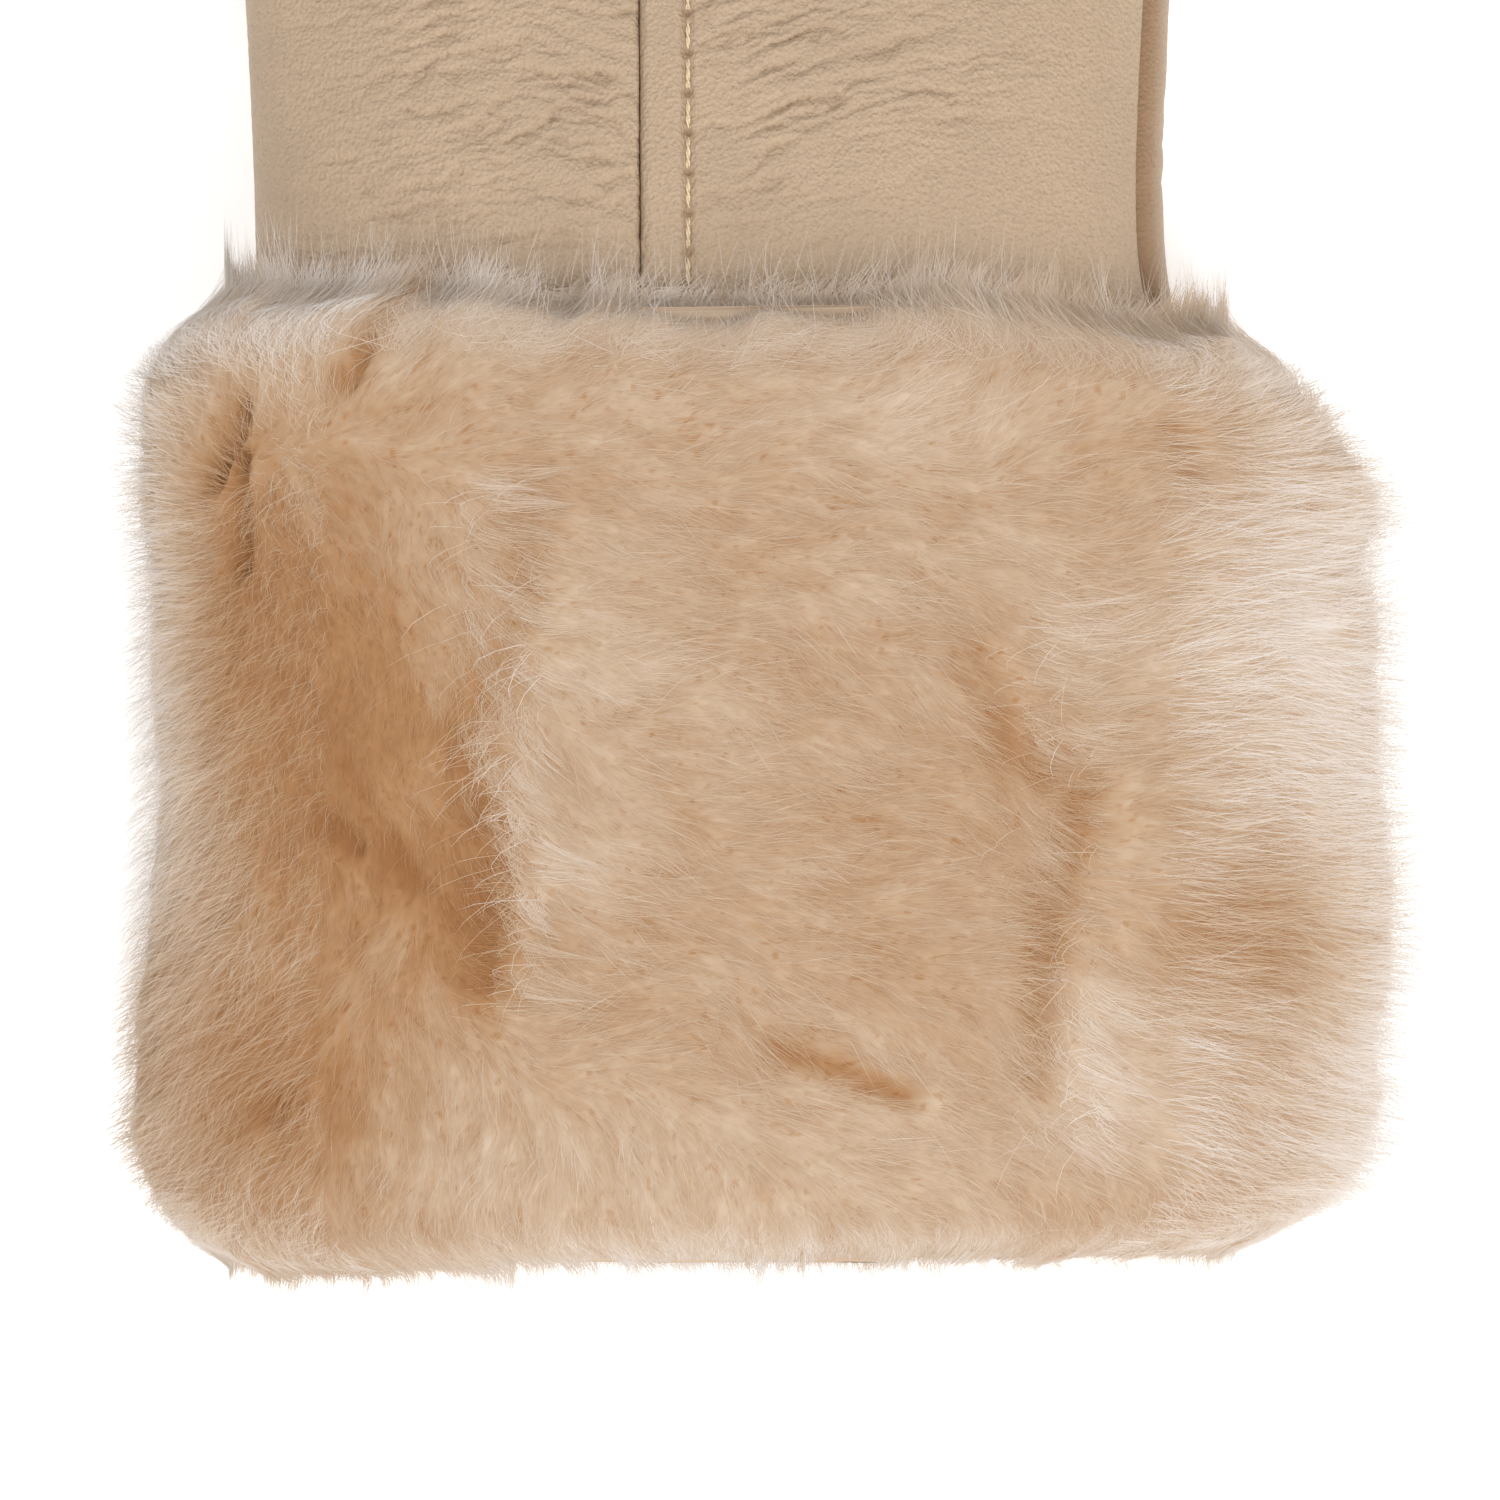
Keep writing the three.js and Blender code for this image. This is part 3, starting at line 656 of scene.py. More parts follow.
def stitches(name, line, up, length, thick, nodes, pitch=STITCH_PITCH, lift=0.12, first=0.0):
    """Twisted stitches on a line of points: each is an arch that rises as sin(pi t)^0.5 from below the line
    to the lift above it, with two plies on opposite sides of a helix, and each ply a six-sided tube."""
    run = run_along(line)
    starts = np.arange(first, run[-1] - length, pitch)
    t = np.linspace(0, 1, 10)
    where = starts[:, None] + (pitch - length) / 2 + length * t[None, :]
    centre = np.stack([np.interp(where, run, line[:, k]) for k in range(3)], -1)
    upward = np.stack([np.interp(where, run, up[:, k]) for k in range(3)], -1)
    upward /= np.linalg.norm(upward, axis=-1, keepdims=True)
    forward = np.gradient(centre, axis=1)
    forward /= np.linalg.norm(forward, axis=-1, keepdims=True)
    side = np.cross(forward, upward)
    arch = lift - 0.75 * thick + 0.75 * thick * np.sin(np.pi * t) ** 0.5
    centre = centre + upward * arch[None, :, None]
    ply = np.array([0, np.pi])[None, :, None]
    twist = ply + (TAU * length / TWIST_LENGTH) * t + 1.7 * np.arange(len(starts))[:, None, None]
    cosine, sine = np.cos(twist)[..., None], np.sin(twist)[..., None]
    core = centre[:, None] + 0.25 * thick * (side[:, None] * cosine + upward[:, None] * sine)
    corners = 6
    around = np.linspace(0, TAU, corners, endpoint=False)[:, None]
    radius = 0.29 * thick * (0.35 + 0.65 * np.sin(np.pi * np.clip(t, 0.04, 0.96)) ** 0.4)
    ring = side[:, None, :, None] * np.cos(around) + upward[:, None, :, None] * np.sin(around)
    tubes = (core[..., None, :] + ring * radius[:, None, None]).reshape(-1, len(t), corners, 3)
    faces = loop_faces(len(t), corners)[:, ::-1]
    first_points = np.arange(len(tubes))[:, None, None] * len(t) * corners
    every = (faces[None] + first_points).reshape(-1, 4)
    return new_piece(name, tubes.reshape(-1, 3), every, cotton, nodes)


row_y = np.linspace(SEAM_START, SEAM_END, 900)
row_line = hand_at(np.full_like(row_y, STITCH_ROW), row_y, np.full_like(row_y, 0.25))
row_up = np.tile([0.0, 0.0, 1.0], (len(row_y), 1))
phase_start = STITCH_PITCH - (SEAM_START % STITCH_PITCH)
row_piece = stitches("topstitches", row_line, row_up, 3.1, 0.50, ["topstitch_thread"], first=phase_start)
print("topstitches", len(row_piece.data.polygons), "faces")

# %% [markdown]
# ## Side seams
# The side seams are sewn inside out and turned, so their thread only shows as short dark glimpses deep in
# the groove. The same stitches do, laid a millimetre below the leather.

# %% Stitches deep in the side seams
def side_line(turn, ys):
    """The seam's line 1.25 mm below the leather, with its outward direction from two depths."""
    low = hand_at(np.full_like(ys, turn), ys, np.full_like(ys, 1.25))
    high = hand_at(np.full_like(ys, turn), ys, np.full_like(ys, 0.25))
    return low, high - low


SIDE_STITCH, SIDE_THREAD = 2.6, 0.4  # the length of a side stitch and the thickness of its thread
thumb_low, thumb_high = THUMB_ROOT_Y - 10.0, THUMB_ROOT_Y + 24.0  # the stretch that the thumb takes up
for name, turn, low, high, count, nodes in (
    ("right_side_stitches", RIGHT_SEAM, SEAM_START, SEAM_END, 700, ["side_seam_thread"]),
    ("left_side_stitches", LEFT_SEAM, thumb_high, SEAM_END, 400, ["side_seam_thread"]),
    ("left_side_stitches_below_thumb", LEFT_SEAM, SEAM_START, thumb_low, 200,
     ["side_seam_thread_below_thumb"]),
):
    line, up = side_line(turn, np.linspace(low, high, count))
    piece = stitches(name, line, up, SIDE_STITCH, SIDE_THREAD, nodes, pitch=3.0, lift=0.0)
    print(piece.name, len(piece.data.polygons), "faces")

# %% [markdown]
# ## Thumb
# The thumb is two more pieces of the same leather, sewn to each other along both sides and to the hand
# round the root. Each column of its grid starts where the thumb's tube leaves the hand's, so that the
# root seam follows the true line where the two meet.

# %% Thumb leather
def thumb_leather(name, start, stop, nodes):
    """Half of the thumb as a wall: folds near the root, and rolls into the side seams and the root seam."""
    turns = np.linspace(start, stop, 90)
    stations, first = thumb_rows(turns, 0.0, 0.5, 70, 26)
    grid = thumb_at(turns[None, :], stations, np.zeros((1, 1)))
    run = run_across(grid)
    edge, root = np.minimum(run, run[:, -1:] - run), (stations - first) * THUMB_LENGTH
    folds = crease_lines(grid[..., 1] + 40, grid[..., 0], 3.2, 77) * np.exp(-root / 22)
    height = seam_roll(edge, 1.0, 0.6) + seam_roll(root, 0.8, 0.5) - 0.3 * folds
    height = height + 0.25 * cloudy(grid[..., 0] / 9, grid[..., 1] / 9, 2, 78)
    # Painted shade: the folds, the side seams and the root seam darken the colour.
    crease = np.clip(0.4 * folds**2 + 0.7 * bell(edge, 0.5) + 0.6 * bell(root, 0.6), 0, 1)
    return leather_wall(name, thumb_at, turns, stations, grid, height, crease, nodes)


thumb_pieces = [
    thumb_leather("thumb_back_leather", 0.01, np.pi - 0.01, ["thumb_back_panel"]),
    thumb_leather("thumb_palm_leather", np.pi + 0.01, TAU - 0.01, ["thumb_palm_panel"]),
]
_, (left_start, right_start) = thumb_rows(np.array([np.pi, 0.0]), 0.0, 0.5, 5, 5)
near_tip, count = 1.98, 300
seam_turns = np.r_[np.full(count, np.pi), np.zeros(count)]
seam_stations = np.r_[np.linspace(left_start, near_tip, count), np.linspace(near_tip, right_start, count)]
low, high = (thumb_at(seam_turns, seam_stations, np.full(2 * count, depth)) for depth in (1.25, 0.25))
stitches("thumb_stitches", low, high - low, SIDE_STITCH, SIDE_THREAD, ["thumb_seam_thread"], 3.0, 0.0)
print([piece.name for piece in thumb_pieces])

# %% [markdown]
# ## Fur: how the wool lies
# Shearling is a dense forest of fine wool about 13 mm tall. Each hair rises from the skin, bends over the
# way it was brushed, and gathers with its neighbours into locks. We write the brushing as a list of
# strokes, and every hair takes a weighted mean of the strokes near it. At a parting the locks lean away
# to both sides, and the darker lower wool shows.

# %% Brush strokes, colour patches and partings
STROKES = np.array([
    # x, y, direction in degrees from +x, reach in mm, how far the hair leans in mm
    [-52, 88, 118, 8, 6.0], [-40, 90, 62, 8, 6.0], [-28, 92, 48, 8, 6.5], [-57, 74, 200, 7, 7.0],
    [-56, 58, 236, 8, 8.5], [-56, 40, 240, 8, 8.5], [-36, 72, -62, 9, 6.0], [-34, 55, -88, 10, 5.0],
    [-38, 38, -100, 9, 6.5], [-25, 60, -60, 6, 6.0], [-46, 16, -100, 9, 8.5], [-58, 12, 215, 8, 7.5],
    [-30, 12, -76, 9, 8.0], [-12, 90, 24, 9, 7.5], [8, 91, 28, 9, 7.5], [26, 90, 50, 9, 7.5],
    [40, 90, 42, 8, 7.0], [-8, 70, -8, 10, 9.5], [-10, 48, -14, 10, 9.5], [-10, 32, -12, 9, 9.0],
    [12, 72, -12, 10, 9.0], [14, 46, -14, 10, 8.5], [26, 66, -40, 9, 8.5], [30, 52, -50, 6, 7.0],
    [10, 22, -26, 9, 9.0], [32, 16, -28, 9, 9.0], [0, 6, -62, 8, 7.0], [30, 5, -58, 8, 7.0],
    [46, 80, 20, 9, 8.0], [46, 62, -8, 10, 9.0], [46, 40, -12, 9, 8.5], [60, 70, 10, 9, 8.5],
    [62, 45, -6, 9, 8.5], [60, 22, -22, 9, 8.5], [58, 8, -50, 8, 7.5], [54, 92, 60, 8, 6.5],
])
# The pale patches at the cuff's left and right sides and at its hem are painted light, where light washes the
# fur's edges out; the others are the wool's own colour.
PATCHES = np.array([
    # x, y, width, height, how much paler (or, below 0, how much tanner) the wool is there
    [-36, 54, 12, 25, -0.36], [-46, 70, 5, 12, -0.20], [-24, 37, 6, 9, -0.26], [29, 50, 6, 7, -0.10],
    [52, 33, 9, 8, -0.27], [-42, 17, 12, 13, -0.34], [-10, 66, 13, 12, 0.08], [22, 84, 14, 6, 0.10],
    [38, 21, 8, 8, 0.18], [60, 62, 10, 22, 0.27], [-58, 66, 5, 26, 0.30], [-40, 93, 20, 6, 0.22],
    [3, 94, 40, 4, 0.14], [-15, 41, 5, 7, 0.16], [44, 62, 12, 10, 0.10], [65, 20, 7, 26, 0.30],
    [0, 11, 55, 8, 0.08], [6, 1, 62, 4, 0.16],
])
PARTINGS = np.array([
    # start x, y, end x, y, half width, depth from 0 to 1
    [-16.2, 78, -18.7, 64, 3.0, 0.35], [-18.7, 64, -23.7, 52, 3.2, 0.45], [-23.7, 52, -20.7, 40, 3.2, 0.7],
    [-20.7, 40, -21.9, 29, 2.8, 1.0], [25.8, 62, 29.3, 52, 2.6, 0.5], [29.3, 52, 36.8, 47.5, 2.8, 0.6],
    [36.8, 47.5, 33.6, 36, 2.6, 0.9], [33.6, 36, 32.3, 20, 2.4, 0.8], [6.3, 22, 12, 20.3, 1.5, 0.8],
    [12, 20.3, 19.3, 17.4, 1.5, 0.9], [-46.7, 84.3, -50, 79, 2.0, 0.9], [-46.4, 80, -46.4, 70, 1.7, 0.8],
    [-35.3, 86.7, -29.3, 95.5, 1.7, 0.9], [-37.2, 44, -34.5, 42, 1.6, 0.8], [-31, 42, -28.5, 38, 1.8, 0.8],
    [-42, 17, -42.5, 15, 1.6, 0.7], [45.3, 83.5, 47.3, 79.5, 1.8, 0.7], [24, 60.5, 26, 58, 1.5, 0.6],
])


def brushed(x, y):
    """Direction and lean at each point: strokes weighted by exp(-(distance / reach)^2), then averaged."""
    far = (x[:, None] - STROKES[:, 0]) ** 2 + (y[:, None] - STROKES[:, 1]) ** 2
    weight = np.exp(-far / STROKES[:, 3] ** 2) + 1e-6
    angle = np.radians(STROKES[:, 2])
    flow = np.stack([weight @ np.cos(angle), weight @ np.sin(angle)], -1)
    flow /= np.maximum(np.linalg.norm(flow, axis=-1, keepdims=True), 1e-9)
    return flow, (weight @ STROKES[:, 4]) / weight.sum(1)


def parted(x, y):
    """How deep each point lies in a parting, and the unit direction away from that parting's line."""
    ax, ay, bx, by, width, depth = PARTINGS.T
    dx, dy = bx - ax, by - ay
    t = ((x[:, None] - ax) * dx + (y[:, None] - ay) * dy) / (dx**2 + dy**2)
    t = np.clip(t, 0, 1)
    away = np.stack([x[:, None] - ax - t * dx, y[:, None] - ay - t * dy], -1)
    gap = np.linalg.norm(away, axis=-1)
    amount = depth * bell(gap, width)
    best = np.argmax(amount, axis=1)
    pick = np.arange(len(x))
    return amount[pick, best], away[pick, best] / np.maximum(gap[pick, best], 1e-6)[:, None]


def patch_tint(x, y):
    """The sum of all colour patches: amount times a two-way bell curve of each."""
    u, v = (x[:, None] - PATCHES[:, 0]) / PATCHES[:, 2], (y[:, None] - PATCHES[:, 1]) / PATCHES[:, 3]
    return (PATCHES[:, 4] * np.exp(-u * u - v * v)).sum(1)


print(len(STROKES), "strokes,", len(PARTINGS), "partings")

# %% [markdown]
# ## Fur material
# Wool is pale at its tips and a warm tan near the skin. The ramp's palest end is a little grey: painted
# shade, for the greyish tufts along the cuff's top.
# One ramp from tan through peach to cream serves the whole cuff. The plush below reads its paleness from
# a value stored on each point. Single hairs read it from their UV map, across, and grow paler up the map,
# towards their tips. A light sheen stands for what fine fibres scatter.

# %% Wool colours
WOOL = [
    # paleness, colour
    (0.0, (0.262, 0.115, 0.042)), (0.25, (0.343, 0.183, 0.083)), (0.5, (0.422, 0.287, 0.181)),
    # The last, greyish colour is painted shade.
    (0.75, (0.525, 0.415, 0.315)), (1.0, (0.65, 0.60, 0.56)),
]


def wool_material(name, by_map):
    """Base colour = the wool ramp of the paleness, which is a point value, or map X + 0.12 (map Y - 0.5)."""
    sheen = {"Sheen_Weight": 0.08, "Sheen_Roughness": 0.6, "Sheen_Tint": (1.0, 0.92, 0.84, 1)}
    material, tree, shader = principled(name, Roughness=0.9, Specular_IOR_Level=0.12, **sheen)
    if by_map:
        where = node(tree, "ShaderNodeUVMap", uv_map="OFBake").outputs["UV"]
        split = node(tree, "ShaderNodeSeparateXYZ", {"Vector": where})
        rise = {0: split.outputs["Y"], 1: 0.12, 2: -0.06}
        gain = node(tree, "ShaderNodeMath", rise, operation="MULTIPLY_ADD").outputs[0]
        pale = node(tree, "ShaderNodeMath", {0: split.outputs["X"], 1: gain}, operation="ADD").outputs[0]
    else:
        pale = node(tree, "ShaderNodeAttribute", attribute_name="pale").outputs["Fac"]
    tree.links.new(ramp(tree, pale, WOOL), shader.inputs["Base Color"])
    return material


plush, fibre = wool_material("plush wool", False), wool_material("single wool hairs", True)

# %% [markdown]
# ## The cuff's own coordinates
# Fur is worked in the length round the cuff, the height up the cuff and the depth in the pile. Wool
# brushed this way and that keeps the cuff's shape wherever it goes.

# %% Round the cuff by length
MID_CUFF = 47.0
around_turn = np.linspace(-np.pi, TAU, 6001)
around_run = run_along(fur_at(around_turn, np.full_like(around_turn, MID_CUFF), 0.2))
around_run = np.interp(np.pi / 2, around_turn, around_run) - around_run


def turn_of(length):
    """The turn at a length round the cuff: 0 is the middle of the top, and it grows towards the right."""
    return np.interp(-length, -around_run, around_turn)


def length_of(turn):
    """The length round the cuff at a turn, the inverse of turn_of."""
    return float(np.interp(turn, around_turn, around_run))


HEM_EDGE = np.array([
    # x, how far up from the hem the wool's edge lies
    (-60, 2), (-51, 0.6), (-41, -0.9), (-26, 0), (-11, 0.4), (4, 0.4), (19, 0.6), (34, 0.7), (49, 1),
    (61, 2.6),
], float)
TOP_EDGE = np.array([
    # x, how far past the cuff's top the wool's edge lies
    (-60, 0), (-46, 2.6), (-26, 3), (-6, 0.8), (13, 1), (25, 2.6), (34, 0.8), (43, -0.6), (54, -1),
], float)


def wool_at(u, v, depth):
    """A point of the fur at length u, height v and depth. Both ends of the cuff are drawn in or out by a
    few millimetres, as the wool's edge wanders, and this fades over 16 mm."""
    points = fur_at(turn_of(u), v, depth)
    hem = np.interp(points[..., 0], *HEM_EDGE.T) + 0.5 * noise(u / 4.5, 0 * u, 211)
    top = np.interp(points[..., 0], *TOP_EDGE.T) + 0.7 * noise(u / 4.5, 0 * u, 212)
    points[..., 1] += hem * smooth(1 - v / 16) + top * smooth((v - CUFF_TOP + 16) / 16)
    return points


def soft_light(normal, u):
    """Wool scatters light, so it shades softly: the normal is drawn to that of the even tube's section,
    found from steps of 0.5 mm along u, and to straight up wherever it faces up at all."""
    middle = np.full_like(u, MID_CUFF)
    step = fur_at(turn_of(u + 0.5), middle, 0.1) - fur_at(turn_of(u - 0.5), middle, 0.1)
    section = np.stack([-step[..., 2], 0 * u, step[..., 0]], -1)
    section /= np.maximum(np.linalg.norm(section, axis=-1, keepdims=True), 1e-9)
    total = 0.6 * normal + 0.5 * section
    total[..., 2] += 1.5 * smooth(section[..., 2] + 0.5)
    return total / np.maximum(np.linalg.norm(total, axis=-1, keepdims=True), 1e-9)


def wool_normal(u, v):
    """The outward direction of the fur's outside: the cross product of steps of 0.5 mm along u and v."""
    across = wool_at(u + 0.5, v, 0.05) - wool_at(u - 0.5, v, 0.05)
    along = wool_at(u, np.minimum(v + 0.5, CUFF_TOP + 3), 0.05) - wool_at(u, v - 0.5, 0.05)
    normal = np.cross(across, along)
    return soft_light(normal / np.maximum(np.linalg.norm(normal, axis=-1, keepdims=True), 1e-9), u)


FUR_HALF_LEFT, FUR_HALF_RIGHT = SKIN_HALF_WIDTH + PILE_LEFT, SKIN_HALF_WIDTH + PILE_RIGHT
LEFT_PARTING = length_of(turn_across(-24.7 / FUR_HALF_LEFT))
RIGHT_PARTING = length_of(turn_across(29.8 / FUR_HALF_RIGHT))
LEFT_WRAP, RIGHT_WRAP = (length_of(turn_up(-7 / SKIN_HALF_THICKNESS, right)) for right in (False, True))
under_turn = turn_across(4 / FUR_HALF_RIGHT)
UNDER_RIGHT, UNDER_LEFT = length_of(-under_turn), length_of(TAU - under_turn)
print("partings at", round(LEFT_PARTING, 1), "and", round(RIGHT_PARTING, 1))
print("the upper side wraps round at", round(LEFT_WRAP, 1), "and", round(RIGHT_WRAP, 1))

# %% [markdown]
# ## How the plush stands
# From a hand's distance, shearling isn't single hairs but a plush of them: soft hollows and crests, locks
# a few millimetres long, and within them fine strokes, all running the way the wool was brushed. Noise
# smeared along the brushed direction has just that look. Crests are pale, since they are tips, and hollows
# show the tan wool below.

# %% Strokes in the wool
def streaks(u, v, flow, size, reach, salt):
    """Noise of one cell size, averaged over 9 points along the flow and scaled back to its full swing."""
    steps = np.linspace(-reach, reach, 9)
    weights = bell(steps, 0.7 * reach)
    total = 0.0
    for t, weight in zip(steps, weights):
        total = total + weight * noise((u + t * flow[:, 0]) / size, (v + t * flow[:, 1]) / size, salt)
    return total / np.sqrt((weights**2).sum())


def turned_by(flow, angle):
    """Each direction turned by its own angle."""
    cosine, sine = np.cos(angle), np.sin(angle)
    return np.stack([flow[:, 0] * cosine - flow[:, 1] * sine, flow[:, 0] * sine + flow[:, 1] * cosine], -1)


def wool_flow(u, v, under):
    """Brushed direction, lean, depth in a parting and x, with slow swirls turning the direction. The
    underside is all brushed towards the hem."""
    x = wool_at(u, v, 0.2)[:, 0]
    flow, lean = brushed(x, v)
    part, away = parted(x, v)
    if under:
        flow, lean = np.stack([0.25 * np.sign(u), -np.ones_like(v)], -1), np.full_like(v, 7.0)
        part = 0 * part
    flow = turned_by(flow, 0.5 * noise(u / 8, v / 8, 81) + 0.35 * noise(u / 2.9, v / 2.9, 82))
    flow = flow + 0.5 * part[:, None] * away
    flow /= np.maximum(np.linalg.norm(flow, axis=-1, keepdims=True), 1e-6)
    return flow, lean, part, x


LEFT_EDGE = np.array([
    # height up the cuff, how much the pile is flattened there
    (0, 4.2), (3, 4), (7, 3.2), (13, 1.8), (20, 1.0), (28, 2.0), (38, 3.8), (44, 4.6), (50, 3.8), (62, 2.8),
    (75, 2), (86, 1.8), (94, 4),
], float)
RIGHT_EDGE = np.array([
    # the same on the right; below 0 the pile stands higher
    (0, 3), (6, 1.5), (20, 0), (40, -0.6), (60, 0), (75, 0.5), (80, 2), (86, 4.5), (90, 7), (94, 9),
], float)


def worn_sides(x, v):
    """Millimetres by which the pile is flattened at the cuff's left and right sides, at each height, with
    loose swells of about a millimetre."""
    left = np.interp(v, *LEFT_EDGE.T) * smooth((-x - 42) / 13)
    right = np.interp(v, *RIGHT_EDGE.T) * smooth((x - 48) / 13)
    loose = smooth((np.abs(x - 4) - 45) / 12) * cloudy(v / 7, x / 9, 2, 206)
    return left + right + 1.1 * loose


def wool_stand(u, v, under=False):
    """Height of the plush over its even surface in millimetres, its paleness, its flow and its lean. The
    first two are sums of strokes of three sizes, a slow cloud and the partings. Worn sides lower the
    height, and colour patches and sparse dark flecks change the paleness."""
    flow, lean, part, x = wool_flow(u, v, under)
    fine = streaks(u, v, flow, 0.28, 0.6, 201)
    middle = streaks(u, v, flow, 0.7, 1.2, 202)
    lock = streaks(u, v, flow, 1.9, 2.6, 203)
    cloud = cloudy(u / 14, v / 14, 2, 204)
    fleck = smooth((streaks(u, v, flow, 0.5, 0.5, 205) - 1.35) / 0.5)
    height = 0.03 * fine + 0.055 * middle + 0.10 * lock + 0.6 * cloud - 1.8 * part - worn_sides(x, v)
    patch = 0 * u if under else patch_tint(x, v)
    pale = 0.50 + patch + 0.03 * fine + 0.03 * middle + 0.03 * lock + 0.06 * cloud - 0.34 * part - 0.2 * fleck
    return height, np.clip(pale, 0.02, 0.98), flow, lean


# %% Plush walls
PLUSH_DEPTH = 0.09  # the share of the pile that stands above the plush, as the ends of single hairs


def plush_wall(name, left, right, step, nodes, under=False):
    """A closed wall from the skin up to the plush's even surface, raised by the plush's height."""
    lengths = np.linspace(left, right, int(abs(right - left) / step))
    heights = np.linspace(0.3, CUFF_TOP - 0.3, int(CUFF_TOP / step))
    u, v = (a.ravel() for a in np.meshgrid(lengths, heights))
    stand, pale, _, _ = wool_stand(u, v, under)
    face = wool_at(u, v, PLUSH_DEPTH - stand / PILE_TOP).reshape(len(heights), len(lengths), 3)
    back = wool_at(lengths[None, ::-8], heights[:, None], np.ones((1, 1)))
    loop = np.concatenate([face, back], 1)
    tone = np.concatenate([pale.reshape(len(heights), -1), np.full(back.shape[:2], 0.3)], 1)
    faces = loop_faces(len(heights), loop.shape[1])[:, ::-1]
    piece = new_piece(name, loop.reshape(-1, 3), faces, plush, nodes, {"pale": tone.ravel()})
    across, along = np.gradient(loop, axis=1), np.gradient(loop, axis=0)
    across[:, len(lengths) - 1], across[:, 0] = face[:, -1] - face[:, -2], face[:, 1] - face[:, 0]
    normal = np.cross(across, along)
    normal /= np.maximum(np.linalg.norm(normal, axis=-1, keepdims=True), 1e-9)
    normal[:, :len(lengths)] = soft_light(normal[:, :len(lengths)], u.reshape(len(heights), -1))
    piece.data.normals_split_custom_set_from_vertices(normal.reshape(-1, 3))
    return piece


side_step, middle_step, under_step = 0.29, 0.25, 0.6
plush_pieces = [
    plush_wall("left_plush", LEFT_WRAP, LEFT_PARTING, side_step, ["cuff_left_fur"]),
    plush_wall("middle_plush", LEFT_PARTING, RIGHT_PARTING, middle_step, ["cuff_middle_fur"]),
    plush_wall("right_plush", RIGHT_PARTING, RIGHT_WRAP, side_step, ["cuff_right_fur", "cuff_hem_fur"]),
    plush_wall("under_left_plush", UNDER_LEFT, LEFT_WRAP, under_step, ["cuff_under_left_fur"], True),
    plush_wall("under_right_plush", RIGHT_WRAP, UNDER_RIGHT, under_step, ["cuff_under_right_fur"], True),
]
for piece in plush_pieces:
    print(piece.name, len(piece.data.polygons), "faces")

# %% [markdown]
# ## Single hairs
# Over the plush stand the ends of single hairs, thinner than a tenth of a millimetre. Each is a narrow
# ribbon that ends in a point and faces outwards: it leaves the plush, leans the way the wool is brushed,
# and gathers a little with its neighbours. Some stray hairs are longer and stand off, which is what makes
# the outline soft; they and the hairs of the outline are paler, painted light where light washes the
# fur's edges out. Real fibres are clear enough to pass light on, so these cast no shadows of their own.

# %% Ribbons into one mesh
def weave_ribbons(name, points, normal, pale, t):
    """One mesh from all ribbons: a quad between every two pairs of points and a triangle to the tip,
    repeated for each ribbon and shifted by its number of points. The map's X is the paleness, a little
    less on the left edge and more on the right, and its Y is t."""
    count, each = points.shape[:2]
    k = 2 * np.arange(len(t) - 2)
    quads = np.stack([k, k + 1, k + 3, k + 2], -1)
    last = np.array([each - 3, each - 2, each - 1])
    base = (np.arange(count) * each)[:, None, None]
    corners = np.concatenate([(quads[None] + base).reshape(count, -1), (last[None] + base[:, :, 0])], 1)
    sizes = np.tile(np.r_[np.full(len(quads), 4), 3], count)
    mesh = bpy.data.meshes.new(name)
    mesh.vertices.add(count * each)
    mesh.vertices.foreach_set("co", to_frame(points.reshape(-1, 3)).astype(np.float32).ravel())
    mesh.loops.add(corners.size)
    mesh.loops.foreach_set("vertex_index", corners.ravel().astype(np.int32))
    mesh.polygons.add(len(sizes))
    mesh.polygons.foreach_set("loop_start", np.r_[0, np.cumsum(sizes)[:-1]].astype(np.int32))
    mesh.update(calc_edges=True)
    mesh.polygons.foreach_set("use_smooth", np.ones(len(sizes), bool))
    point_v = np.r_[np.repeat(t[:-1], 2), 1.0]
    point_u = np.r_[np.tile([-0.012, 0.012], len(t) - 1), 0.0]
    local = np.r_[quads.ravel(), last]
    uv = np.stack(np.broadcast_arrays(pale[:, None] + point_u[local][None], point_v[local][None]), -1)
    layer = mesh.uv_layers.new(name="OFBake")
    layer.data.foreach_set("uv", uv.astype(np.float32).ravel())
    mesh.normals_split_custom_set_from_vertices(normal.reshape(-1, 3))
    piece = bpy.data.objects.new(name, mesh)
    bpy.context.scene.collection.objects.link(piece)
    mesh.materials.append(fibre)
    piece.visible_shadow = False
    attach(piece, "root")
    print(name, count, "hairs,", count * (2 * len(quads) + 1), "triangles")
    return piece


def gathered(u, v, size, salt):
    """Each hair's lock: the nearest of the jittered centres in the nine grid cells round it."""
    i, j = np.floor(u / size), np.floor(v / size)
    best, centre, label = np.full(len(u), 1e9), np.zeros((len(u), 2)), np.zeros(len(u))
    for di, dj in ((a, b) for a in (-1, 0, 1) for b in (-1, 0, 1)):
        a, b = i + di, j + dj
        cu = (a + 0.15 + 0.7 * hashed(a, b, salt)) * size
        cv = (b + 0.15 + 0.7 * hashed(a, b, salt + 1)) * size
        far = (u - cu) ** 2 + (v - cv) ** 2
        near = far < best
        best = np.where(near, far, best)
        centre[near, 0], centre[near, 1] = cu[near], cv[near]
        label = np.where(near, hashed(a, b, salt + 2), label)
    return centre, label


